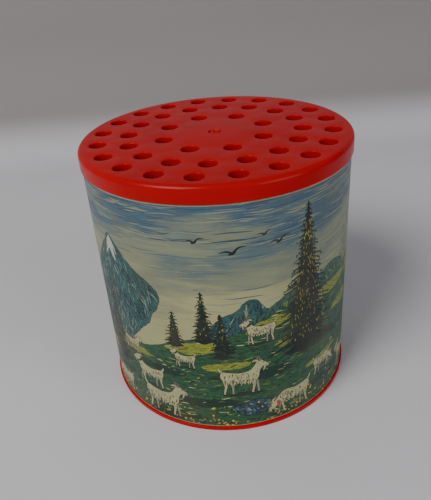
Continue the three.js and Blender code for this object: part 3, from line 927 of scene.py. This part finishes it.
def meadow(rng):
    """The pasture's rolling turf, with lit and shaded patches and short blades."""
    turf = [
        LEFT + 21j, -88 + 23j, -78 + 22j, -68 + 24.5j, -58 + 22.5j, -48 + 20.5j, -38 + 20.8j, -30 + 21.6j,
        -24 + 20.6j, -19 + 21.6j, -14 + 24j, -8 + 26j, -2 + 26.5j, 3 + 28.2j, 8 + 30.6j, 14 + 32j, 22 + 32.6j,
        31 + 33.6j, 40 + 34.5j, 50 + 32.5j, 60 + 28.5j, 70 + 25.5j, 80 + 24j, 90 + 21.5j, RIGHT + 21j,
    ]
    outline = under(rough(turf, 0.8, 0.12, rng), -1)
    fill("line", grown(outline, 0.1, rng))
    fill("meadow", outline)
    for u, v, width, height, lean in (
        (-8, 23.6, 15, 3.4, 0.14), (9, 28.8, 10, 3.2, 0.2), (27, 31, 16, 3.4, 0.05), (43, 30.5, 15, 5, -0.15),
        (-25, 18.5, 12, 2.2, 0), (-1, 18.6, 12, 2.2, 0.1), (14, 22.8, 9, 2.2, 0.1), (34, 24, 14, 3, -0.1),
        (-36, 13.5, 11, 2.6, 0), (24, 12.5, 13, 2, 0.05), (-64, 21.6, 16, 2.8, 0.05), (-84, 17.5, 17, 3.6, 0),
        (64, 23.5, 16, 3.2, -0.2), (82, 19.5, 18, 3, 0), (54, 13, 13, 2.6, 0), (-56, 12, 14, 2.6, 0),
    ):
        blob("meadow_lit", complex(u, v), width, height, rng, lean)
    for u, v, width, height in (
        (-17, 15.6, 16, 2.6), (6, 15, 22, 3.2), (22, 18.6, 16, 3.4), (-32, 9.4, 12, 2.6), (-6, 7.4, 16, 3),
        (33, 17.5, 15, 2.6), (27, 5.4, 16, 2.4), (-46, 16, 14, 2.6), (-74, 11, 18, 3), (48, 20, 15, 3),
        (72, 14, 18, 3), (92, 12, 14, 3.4), (-94, 10, 10, 3), (-14, 2.4, 16, 2.2), (52, 4, 18, 2.6),
        (-62, 4, 18, 2.6),
    ):
        blob("meadow_dark", complex(u, v), width, height, rng)
    blade_inks = ("meadow_dark", "meadow_lit", "line", "line", "line", "meadow_dark", "meadow_lit", "goat")
    for p in scatter(outline, 1900, rng):
        if p.imag < 0 or (abs(p.real) > FRONT and rng.random() < 0.7):
            continue
        ink = rng.choice(blade_inks)
        length = rng.uniform(0.6, 2.4)
        lean = rng.uniform(-0.15, 0.3)
        q = p + complex(length, length * lean)
        if inside(q, outline):
            bow = rng.uniform(-0.12, 0.2) * 1j
            stroke(ink, p, q, bow, 0.19 if ink == "line" else rng.uniform(0.14, 0.34), 0, 2)


def foreground(rng):
    """Grass and flowers along the lower edge."""
    for _ in range(150):
        ink = rng.choice(("line", "meadow_lit", "meadow_dark"))
        tuft(ink, anywhere(0, 6, rng), rng.uniform(0.6, 1.2), rng)
    for _ in range(280):
        place = complex(rng.uniform(LEFT, RIGHT), abs(rng.gauss(0, 2.6)) + 0.2)
        flower("bloom", place, rng.uniform(0.14, 0.42), rng)
    for _ in range(60):
        flower("red", anywhere(0.3, 7, rng), rng.uniform(0.1, 0.24), rng)
    for _ in range(60):
        flower("goat", anywhere(0.5, 15, rng), rng.uniform(0.08, 0.16), rng)


# The ridges of the far massifs, the near peak and the low hills. The near peak's ends under its right flank.
FAR_RIDGE = [
    LEFT + 33j, -92 + 37j, -86 + 42.5j, -80 + 38j, -74 + 40j, -67 + 45.5j, -60 + 38j, -53 + 32j, -46 + 28j,
]
SLOPE_RIDGE = [
    19 + 28j, 25 + 32.5j, 31 + 37j, 37 + 42j, 42 + 44.6j, 47 + 47.5j, 52 + 44j, 58 + 39.5j, 66 + 41j,
    73 + 36.5j, 82 + 38.5j, 89 + 33j, RIGHT + 30j,
]
PEAK_RIDGE = [
    -52 + 25j, -46.5 + 30j, -41 + 34.5j, -37.2 + 37.6j, -33.4 + 42.4j, -30.6 + 45.4j, -28.2 + 48j,
    -26.2 + 46.2j, -23.8 + 44.2j, -21 + 41.4j, -17.8 + 39.6j, -15.4 + 37.4j, -15 + 34.8j, -16.8 + 31.6j,
    -18.6 + 28.4j, -21.6 + 25.4j, -24.5 + 22j,
]
KNOLL_RIDGE = [
    -7 + 25.5j, -4.2 + 29j, -1.4 + 32j, 1.6 + 33.2j, 3.6 + 35.4j, 6 + 35.8j, 7.6 + 34j, 10 + 31.6j,
    13 + 29.4j,
]
HILL_RIDGE = [6.5 + 31j, 10 + 33.4j, 13.5 + 35.2j, 17.5 + 36.8j, 22 + 36.4j, 27 + 37.6j, 33 + 36j]

# Each fir: its foot's u and v, height, spread, rows of boughs and lit shoots
FIRS = (
    (-31.4, 10.5, 27, 4.2, 22, 14), (-12.2, 23.4, 9.6, 2.7, 11, 4), (-5.4, 25, 13.6, 3.1, 14, 6),
    (-1.7, 20.6, 12.4, 3.2, 13, 6), (18.6, 17.6, 37.5, 9.6, 34, 170), (-36.5, 15, 19, 3.6, 16, 8),
    (41, 21, 17, 4, 15, 10), (46, 17, 23, 4.6, 18, 14), (-84, 15, 26, 5.4, 20, 22), (-77, 18, 16, 3.6, 14, 8),
    (-52, 19, 12, 3, 12, 5), (86, 15, 24, 5.2, 20, 20), (93, 17.5, 15, 3.4, 13, 6),
)
# Each goat: its place, size, pose and facing, whether it is horned, and its collar
GOATS = (
    (6.4 + 24j, 0.62, "standing", -1, True, "line"),
    (-10.9 + 17.6j, 0.46, "standing", -1, False, "line"),
    (-25.2 + 16.8j, 0.5, "standing", 1, False, None),
    (3 + 9.9j, 0.86, "standing", 1, True, None),
    (-21.4 + 8.6j, 0.72, "standing", -1, False, "line"),
    (25.4 + 7.4j, 0.62, "grazing", 1, True, None),
    (-16.8 + 0.9j, 0.92, "standing", 1, True, None),
    (14.2 + 1.2j, 0.86, "grazing", -1, True, "red"),
    (-33.4 + 1j, 0.72, "grazing", -1, True, None),
    (36.5 + 1.4j, 0.8, "standing", -1, True, "line"),
    (46 + 9.5j, 0.6, "resting", 1, True, None),
    (53 + 1.6j, 0.78, "standing", 1, True, "red"),
    (78 + 5.6j, 0.86, "standing", -1, True, None),
    (90 + 1.2j, 0.7, "grazing", 1, False, None),
    (71 + 12.5j, 0.5, "resting", -1, False, None),
    (-46 + 2.5j, 0.78, "standing", 1, True, "line"),
    (-62 + 5j, 0.84, "grazing", -1, True, None),
    (-78 + 2.2j, 0.9, "resting", 1, True, "red"),
    (-68 + 14.8j, 0.48, "standing", 1, False, None),
    (-93.5 + 12j, 0.6, "standing", -1, True, None),
)
BIRDS = (
    (-5.6 + 50.4j, 1.9), (1.8 + 47.6j, 2.5), (8.4 + 50.9j, 1.5), (11.6 + 48.6j, 2.1), (-72 + 51j, 2),
    (-65 + 49j, 1.6), (70 + 50j, 2.1),
)
MARGIN = 0.5  # bare paper at the strip's long edges


def mountains(rng):
    far_summit, slope_summit, summit = -67 + 45.5j, 47 + 47.5j, -28.2 + 48j
    mountain(FAR_RIDGE, 19, far_summit, 130, rng, ("far", "far_dark", "snow"))
    mountain(SLOPE_RIDGE, 19, slope_summit, 190, rng, ("slope", "far_dark", "meadow_lit"))
    snow(-67 + 45j, 5, rng)
    snow(47 + 47j, 5.5, rng)
    mountain(PEAK_RIDGE, 19, summit, 380, rng)
    snow(-28.2 + 47.6j, 5, rng)
    mountain(KNOLL_RIDGE, 24, 5 + 36j, 70, rng, ("peak", "peak_dark", "cloud"))
    mountain(HILL_RIDGE, 27, 18 + 40j, 70, rng, ("hill", "meadow_dark", "meadow_lit"))


def draw():
    """The whole print, from the sky forwards."""
    sky(random.Random(11))
    mountains(random.Random(5))
    meadow(random.Random(21))
    rng = random.Random(8)
    for u, v, height, spread, rows, lit in FIRS:
        fir(complex(u, v), height, spread, rows, rng, lit)
    hut(complex(62, 19), 1.15, rng)
    fence(-72 + 13j, -48 + 9.5j, 9, rng)
    boulder(5.6 + 5.2j, 12.5, 4.6, rng)
    boulder(61 + 8j, 8, 3.4, rng)
    boulder(-90 + 7j, 9, 4, rng)
    for foot, size, pose, faces, horns, collar in GOATS:
        goat(foot, size, rng, pose, faces, horns, collar)
    for place, size in BIRDS:
        bird(place, size)
    foreground(random.Random(31))
    for level in (PAPER_HEIGHT, 0):
        fill("stock", panel(LEFT, level - MARGIN / 2, RIGHT, level + MARGIN / 2))


# --- Printing inks ---

# Each ink: its main colour, its second colour, the streaks of the second in it (scale along u and v in 1/mm,
# turn in degrees, how much of the ink they take), and the factor by which painted shade darkens both colours
INKS = {
    "sky_deep": ("2f5876", "466f88", (0.3, 2.0), 0, 0.35, 0.55),
    "sky_mid": ("5f8490", "82988f", (0.3, 2.0), 0, 0.4, 0.55),
    "cloud": ("b9b794", "9ba38c", (0.4, 2.5), 0, 0.3, 0.6),
    "haze": ("9fa998", "b9b798", (0.3, 2.0), 0, 0.4, 0.6),
    "peak": ("3b7b7a", "1f4f57", (0.7, 2.4), 62, 0.5, 0.6),
    "peak_dark": ("17434c", "0e2f38", (1, 2), 60, 0.4, 0.6),
    "peak_lit": ("86b3a4", "a9c2ac", (1, 2), 60, 0.4, 0.55),
    "snow": ("d9dac6", "b5c2b8", (1, 2), 70, 0.35, 0.75),
    "far": ("93adab", "7396a0", (0.6, 2.2), 55, 0.4, 0.6),
    "far_dark": ("5c8590", "476f7f", (1, 2), 60, 0.4, 0.6),
    "slope": ("abae7c", "789767", (0.5, 1.8), 42, 0.45, 0.62),
    "hill": ("46785f", "2c5b4d", (0.6, 2.2), 20, 0.45, 0.7),
    "meadow": ("2f6a42", "1b4a34", (0.5, 1.9), 8, 0.5, 0.72),
    "meadow_lit": ("7f9430", "a9a33c", (0.6, 2.4), 8, 0.45, 0.8),
    "meadow_dark": ("153f2b", "0e2c24", (0.6, 2.4), 6, 0.45, 0.72),
    "fir": ("0b1713", "13261d", (2, 2), 0, 0.4, 1),
    "fir_mid": ("234130", "2f5238", (2, 2), 0, 0.4, 1),
    "fir_lit": ("b5a53d", "8f8534", (2, 2), 0, 0.3, 0.85),
    "goat": ("ccc690", "b5b088", (0.8, 2.2), 70, 0.35, 0.8),
    "goat_shade": ("9fa285", "838a72", (1, 2), 70, 0.4, 0.75),
    "line": ("141614", "20241f", (3, 3), 0, 0.3, 1),
    "horn": ("8d8a72", "6f6c58", (2, 2), 0, 0.4, 0.8),
    "rock": ("3f6272", "27434f", (0.8, 1.6), -30, 0.5, 0.75),
    "rock_lit": ("92a9a4", "748f8f", (1, 2), -30, 0.4, 0.7),
    "rock_dark": ("1d3d4a", "132b35", (1, 2), -30, 0.4, 0.7),
    "wood": ("7a5233", "5c3c26", (0.4, 3), 0, 0.45, 1),
    "red": ("b4372b", "952b26", (2, 2), 0, 0.3, 1),
    "bloom": ("dfc03a", "c9a52f", (2, 2), 0, 0.3, 0.85),
    "stock": ("c9c2a0", "b3a985", (1, 1), 0, 0.4, 0.7),
}
# The washes of the sky, from the hills up: a colour and the factor by which painted shade darkens it
SKY = (("aaa778", 1), ("a3ab8f", 0.58), ("55798c", 0.62), ("32597a", 0.62))
# How strongly fine black hatching shows in an ink
HATCH = {"meadow": 0.85, "meadow_lit": 0.7, "peak": 0.8, "rock": 0.8, "slope": 0.6, "hill": 0.75, "goat": 0.3}


def with_painted_shade(unshaded, ageing_and_painted_shade):
    """An ink's colour darkened by a factor, as painted shade for the dim light on the print."""
    return [ageing_and_painted_shade * c for c in linear(unshaded)[:3]] + [1.0]


def press(s, colour):
    """The varnished surface that all inks share: old paper shows through in rubbed spots, softly glossy."""
    flat = s.place(print_space=True)
    blotch = s.spread(s.noise(flat, 0.09, 4, 0.6), 0.42, 0.72, 0, 0.16)
    colour = s.mix(blotch, colour, linear("7d6f47"))
    speck = s.spread(s.noise(flat, 3.2, 3, 0.7), 0.68, 0.78, 0, 0.4)
    colour = s.mix(speck, colour, linear("b9b394"))
    rub = s.spread(s.noise(flat, 0.5, 5, 0.65), 0.45, 0.75)
    s.set(Base_Color=colour, Roughness=s.spread(rub, 0, 1, 0.38, 0.55), IOR=1.45)
    s.set(Normal=s.bump(s.noise(flat, 1.1, 3), 0.12, 0.06 * MM))
    return s.material


def ink(name):
    """One ink with its streaks, its slow change of tone and any hatching."""
    main, second, (along, across), turn, amount, ageing_and_painted_shade = INKS[name]
    # Both colours are darkened here by painted shade.
    main, second = with_painted_shade(main, ageing_and_painted_shade), with_painted_shade(second, ageing_and_painted_shade)
    s = Shader("ink_" + name)
    grain = s.noise(s.place((along, across, 1), math.radians(turn), True), 1.0, 4, 0.65, 0.3)
    share = s.spread(grain, 0.62 - 0.25 * amount, 0.66 - 0.25 * amount + 0.05)
    colour = s.mix(share, main, second)
    tone = s.spread(s.noise(s.place(print_space=True), 0.16, 3), 0.35, 0.65, 0, 0.3)
    colour = s.mix(tone, colour, second)
    if name in HATCH:
        where = s.place((1.5 * along, 1.4 * across, 1), math.radians(turn + 10), True)
        strokes = s.spread(s.noise(where, 1.0, 2, 0.5), 0.585, 0.625, 0, HATCH[name])
        colour = s.mix(strokes, colour, linear(INKS["line"][0]))
    return press(s, colour)


def sky_ink():
    """Blue washed out to warm paper towards the hills, in long level brush marks."""
    s = Shader("ink_sky")
    height = s.node("ShaderNodeSeparateXYZ", {0: s.place(print_space=True)}).outputs[1]
    drift = s.noise(s.place((0.035, 0.16, 1), math.radians(2), True), 1.0, 4, 0.6, 0.4)
    lift = s.math("ADD", height, s.spread(drift, 0.3, 0.7, -8, 8))
    # Each wash is darkened here by painted shade.
    low, pale, blue, deep = (with_painted_shade(*wash) for wash in SKY)
    colour = s.mix(s.spread(lift, 30, 44), low, pale)
    colour = s.mix(s.spread(lift, 42, 58), colour, blue)
    streak = s.noise(s.place((0.06, 2.2, 1), math.radians(1), True), 1.0, 5, 0.7, 0.25)
    share = s.math("MULTIPLY", s.spread(streak, 0.52, 0.6), s.spread(lift, 44, 60, 0.03, 0.75))
    colour = s.mix(share, colour, deep)
    gleam = s.noise(s.place((0.09, 1.9, 1), math.radians(-1), True), 1.3, 5, 0.7, 0.25)
    colour = s.mix(s.spread(gleam, 0.56, 0.63, 0, 0.75), colour, linear("8f9078"))
    return press(s, colour)


# --- Rolling the print round the wall ---

COLUMNS = 84  # facets along the paper
UNPRINTED = -9  # a height off the print, which marks the paper's edges and back
CLOSE = 1e-3


def paper_radius(u):
    """The strip lies on the wall, and its last stretch climbs on to its own start."""
    climb = min(1, max(0, (u - PAPER_HALF) / (0.5 * PAPER_LAP) + 1))
    return PAPER_RADIUS + PAPER_STEP * climb


def rolled(p, depth=0.0):
    """A place on the print once it is round the wall, or at a depth below its face."""
    angle = p.real / PAPER_RADIUS - math.pi / 2
    around = cmath.rect(paper_radius(p.real) - depth, angle)
    return (around.real, around.imag, PAPER_BOTTOM + p.imag)


def visible_facets(spots, cuts, outlines, shape_slots):
    """Triangles of what shows when the outlines are painted in order, cut only where the ink changes."""
    corners, _, triangles, _, _, over = delaunay_2d_cdt(spots, cuts, outlines, 0, 1e-4)
    top_slot = []
    for triangle, shown in zip(triangles, over):
        middle = sum(complex(*corners[v]) for v in triangle) / 3
        over_paper = [k - 1 for k in sorted(shown, reverse=True) if k and 0 in shown]
        top_slot.append(next((shape_slots[k] for k in over_paper if inside(middle, shapes[k][1])), -1))
    sides = {}
    for triangle, slot in zip(triangles, top_slot):
        for a, b in edges_of(triangle):
            sides.setdefault((min(a, b), max(a, b)), set()).add(slot)
    edges = [side for side, found in sides.items() if len(found) > 1]
    kept = list(dict.fromkeys(v for side in edges for v in side))
    number = {v: i for i, v in enumerate(kept)}
    edges = [(number[a], number[b]) for a, b in edges]
    first = len(kept)
    points = [corners[v] for v in kept] + [spots[v] for cut in cuts for v in cut]
    edges += [(first + 2 * i, first + 2 * i + 1) for i in range(len(cuts))]
    plane = BVHTree.FromPolygons([(p.x, p.y, 0) for p in corners], triangles)
    corners, _, triangles = delaunay_2d_cdt(points, edges, [], 0, 1e-4)[:3]
    painted = []
    for triangle in triangles:
        middle = sum((corners[v] for v in triangle), Vector((0, 0))) / 3
        slot = top_slot[plane.find_nearest((middle.x, middle.y, 0))[2]]
        if slot >= 0:
            painted.append((tuple(triangle), slot))
    return [complex(*p) for p in corners], painted


def paper_wrap():
    """One closed sheet whose outer face is cut along every edge of the print, with an ink for each facet."""
    draw()
    start, end, top = -PAPER_HALF, PAPER_HALF + PAPER_LAP, PAPER_HEIGHT
    spots, outlines, cuts = [], [], []

    def put(points):
        first = len(spots)
        spots.extend(Vector((p.real, p.imag)) for p in points)
        return list(range(first, len(spots)))

    outlines.append(put(panel(start, 0, end, top)))
    outlines += [put(outline) for _, outline in shapes]
    for k in range(1, COLUMNS):
        u = start + (end - start) * k / COLUMNS
        cuts.append(put([complex(u, 0), complex(u, top)]))
    names = list(dict.fromkeys(name for name, _ in shapes))
    slots = {name: i for i, name in enumerate(names)}
    flat, painted = visible_facets(spots, cuts, outlines, [slots[name] for name, _ in shapes])
    vertices = [rolled(p) for p in flat]
    faces = [triangle for triangle, _ in painted]
    face_slots = [slot for _, slot in painted]
    places = [[flat[v] for v in triangle] for triangle in faces]
    used = {v for face in faces for v in face}
    rows = {}
    for level in (0, top):
        row = [v for v in used if abs(flat[v].imag - level) < CLOSE]
        row.sort(key=lambda v: flat[v].real)
        first = len(vertices)
        vertices += [rolled(complex(flat[v].real, level), PAPER_THICK) for v in row]
        rows[level] = (row, list(range(first, first + len(row))))
    us = {v: flat[v].real for level in rows for v in rows[level][0]}
    for row, inner in rows.values():
        us.update({i: flat[v].real for v, i in zip(row, inner)})

    def back(face):
        faces.append(face)
        face_slots.append(slots["stock"])
        places.append([complex(us.get(v, start), UNPRINTED) for v in face])

    (low, low_in), (high, high_in) = rows[0], rows[top]
    for i in range(len(low) - 1):
        back((low_in[i], low_in[i + 1], low[i + 1], low[i]))
    for i in range(len(high) - 1):
        back((high[i], high[i + 1], high_in[i + 1], high_in[i]))
    i = j = 0
    while i < len(low_in) - 1 or j < len(high_in) - 1:
        if j == len(high_in) - 1 or (i < len(low_in) - 1 and us[low_in[i + 1]] <= us[high_in[j + 1]]):
            back((low_in[i + 1], low_in[i], high_in[j]))
            i += 1
        else:
            back((high_in[j], high_in[j + 1], low_in[i]))
            j += 1
    for side, u in ((0, start), (-1, end)):
        edge = sorted((v for v in used if abs(flat[v].real - u) < CLOSE), key=lambda v: flat[v].imag)
        fan = [low_in[side]] + edge + [high_in[side]]
        fan = fan[::-1] if side == 0 else fan
        anchor = fan.index(high_in[side])
        order = fan[anchor:] + fan[:anchor]
        for a, b in zip(order[1:], order[2:]):
            back((order[0], a, b))
    materials = [sky_ink() if name == "sky" else ink(name) for name in names]
    wrap = add_object("paper_wrap", vertices, faces, materials, face_slots)
    dress_paper(wrap.data, places, start, end, top)
    return wrap


def dress_paper(mesh, places, start, end, top):
    """The print's own coordinates, a second layer unrolled in two strips, and normals square to the wall."""
    middle = (start + end) / 2
    flat_layer = mesh.uv_layers.new(name="Print")
    bake_layer = mesh.uv_layers.new(name="OFBake")
    normals = []
    for polygon, spots in zip(mesh.polygons, places):
        printed = spots[0].imag > UNPRINTED
        strip = 1 if sum(p.real for p in spots) / len(spots) > middle else 0
        for corner, p in zip(polygon.loop_indices, spots):
            across = (p.real - (middle if strip else start)) / (middle - start)
            up = p.imag / top * 0.48 + 0.5 * strip + 0.005 if printed else 0.99
            flat_layer.data[corner].uv = (p.real, p.imag)
            bake_layer.data[corner].uv = (0.005 + 0.99 * across, up)
            if printed:
                around = cmath.rect(1, p.real / PAPER_RADIUS - math.pi / 2)
                normals.append((around.real, around.imag, 0))
            else:
                normals.append(polygon.normal[:])
    mesh.normals_split_custom_set(normals)


# --- Assembly ---

RED = red_plastic()
FELT = felt()
IVORY = ivory_plastic()
RUBBER = rubber()
IRON = cast_iron()
STEEL = turned_metal("spring_steel", "b9bbbd", "8b8d90", 0.24, (1, 14, 1))
BRASS = turned_metal("brass", "c9a24c", "94702c", 0.28, (1, 1, 16))
CLOTH = bellows_cloth()

stands_for(lid(RED), "lid", "red_plastic", "lid")
stands_for(housing_cup(RED), "housing", "red_plastic", "housing_cup")
stands_for(paper_wrap(), "housing", "printed_paper", "label_wrap")

BELLOWS = pleated_skin(CLOTH)
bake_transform(BELLOWS)
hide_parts("bellows")

# Each ring: its name, its hole's radius, its material, its node, its body, its slot and its edges' rounding
RINGS = (
    ("floor_felt_ring", 6, FELT, "floor_felt", "housing", "felt", 0.4),
    ("base_cuff_ring", 20.6, IVORY, "bellows_base_ring", "housing", "ivory_plastic", 0.25),
    ("top_cuff_ring", 20.6, IVORY, "bellows_top_ring", "weight_unit", "ivory_plastic", 0.25),
    ("tube_ring", 7.2, IVORY, "reed_tube", "weight_unit", "ivory_plastic", 0.2),
    ("iron_ring", 9.2, IRON, "weight_ring", "weight_unit", "cast_iron", 0.9),
    ("washer_felt", 9, FELT, "weight_washer", "weight_unit", "felt", 0.2),
    ("gasket_ring", 5.2, RUBBER, "reed_gasket", "weight_unit", "rubber", 0.2),
    ("bumper_felt", 22.5, FELT, "top_bumper", "lid", "felt", 0.4),
)
for name, inner, material, node, body, slot, radius in RINGS:
    stands_for(ring_piece(name, inner, material, node, radius), body, slot, node)
stands_for(carrier_plate(IVORY), "weight_unit", "ivory_plastic", "weight_carrier")
stands_for(guide_rim(IVORY), "weight_unit", "ivory_plastic", "guide_rim")
stands_for(horn(IVORY), "weight_unit", "ivory_plastic", "resonator_horn")
for i in (1, 2, 3):
    node = f"guide_pad_{i}"
    stands_for(guide_pad(f"rim_felt_{i}", FELT, node), "weight_unit", "felt", node)
    dress_node(f"carrier_peg_{i}", IVORY)
for node in ("weight_retainer", "reed_tongue"):
    dress_node(node, STEEL)
for node in ("reed_body", "reed_clamp"):
    dress_node(node, BRASS)


# --- Stage ---


def backdrop():
    """Matt paper, pale on the floor and greyer where it rises."""
    s = Shader("backdrop")
    tone = s.spread(s.noise(s.place(), 14, 3), 0.3, 0.7)
    floor = s.mix(tone, linear("d9d7db"), linear("d4d2d6"))
    rise = s.node("ShaderNodeSeparateXYZ", {0: s.place()}).outputs[2]
    s.set(Base_Color=s.mix(s.spread(rise, 0.002, 0.02), floor, linear("96908f")), Roughness=0.85)
    return s.material


def studio():
    """A pale floor that curves up into a grey backdrop."""
    bend, behind, reach = 60, 150, 900
    profile = [(-reach, 0), (behind, 0)]
    for k in range(1, 13):
        a = math.pi / 2 * k / 12
        profile.append((behind + bend * math.sin(a), bend * (1 - math.cos(a))))
    profile.append((behind + bend, reach))
    vertices, faces = [], []
    for y, z in profile:
        vertices += [(-1200, y, z), (1200, y, z)]
    for i in range(len(profile) - 1):
        faces.append((2 * i, 2 * i + 1, 2 * i + 3, 2 * i + 2))
    floor = add_object("studio_sweep", vertices, faces, [backdrop()])


def area_light(name, place, size, power, colour):
    """A round soft light aimed at the middle of the box."""
    data = bpy.data.lights.new(name, "AREA")
    data.shape, data.size, data.energy, data.color = "DISK", size, power, colour
    light = bpy.data.objects.new(name, data)
    light.location = place
    light.rotation_euler = (BOX_MIDDLE - Vector(place)).to_track_quat("-Z", "Y").to_euler()
    bpy.context.collection.objects.link(light)


def lights():
    world = bpy.data.worlds.new("studio")
    bpy.context.scene.world = world
    world.use_nodes = True
    world.node_tree.nodes["Background"].inputs[0].default_value = (0.62, 0.66, 0.72, 1)
    world.node_tree.nodes["Background"].inputs[1].default_value = 0.3
    area_light("window", (-0.35, -0.35, 0.55), 0.35, 3.6, (1.0, 0.98, 0.95))
    area_light("fill", (0.5, -0.45, 0.25), 0.4, 1.2, (0.92, 0.96, 1.0))


BOX_MIDDLE = Vector((0, 0, 0.03))
CAMERA_DISTANCE = 4.117 * LID_RADIUS * MM
CAMERA_ELEVATION = math.radians(17.8)
LOOK_DOWN, LOOK_SIDE, ROLL = (math.radians(a) for a in (12.19, 0.79, -4.13))


def camera():
    """Looks at the lid's middle, then down to the box and a little askew, as a hand-held camera does."""
    data = bpy.data.cameras.new("camera")
    data.sensor_width, data.lens = 36.0, 39.48
    data.clip_start, data.clip_end = 0.01, 10
    eye = bpy.data.objects.new("camera", data)
    back = Vector((0, -math.cos(CAMERA_ELEVATION), math.sin(CAMERA_ELEVATION)))
    place = Matrix.Translation(Vector((0, 0, LID_TOP * MM)) + CAMERA_DISTANCE * back)
    aim = Matrix.Rotation(math.pi / 2 - CAMERA_ELEVATION, 4, "X")
    askew = Matrix.Rotation(LOOK_SIDE, 4, "Y") @ Matrix.Rotation(-LOOK_DOWN, 4, "X")
    eye.matrix_world = place @ aim @ askew @ Matrix.Rotation(ROLL, 4, "Z")
    bpy.context.collection.objects.link(eye)
    bpy.context.scene.camera = eye


studio()
lights()
camera()
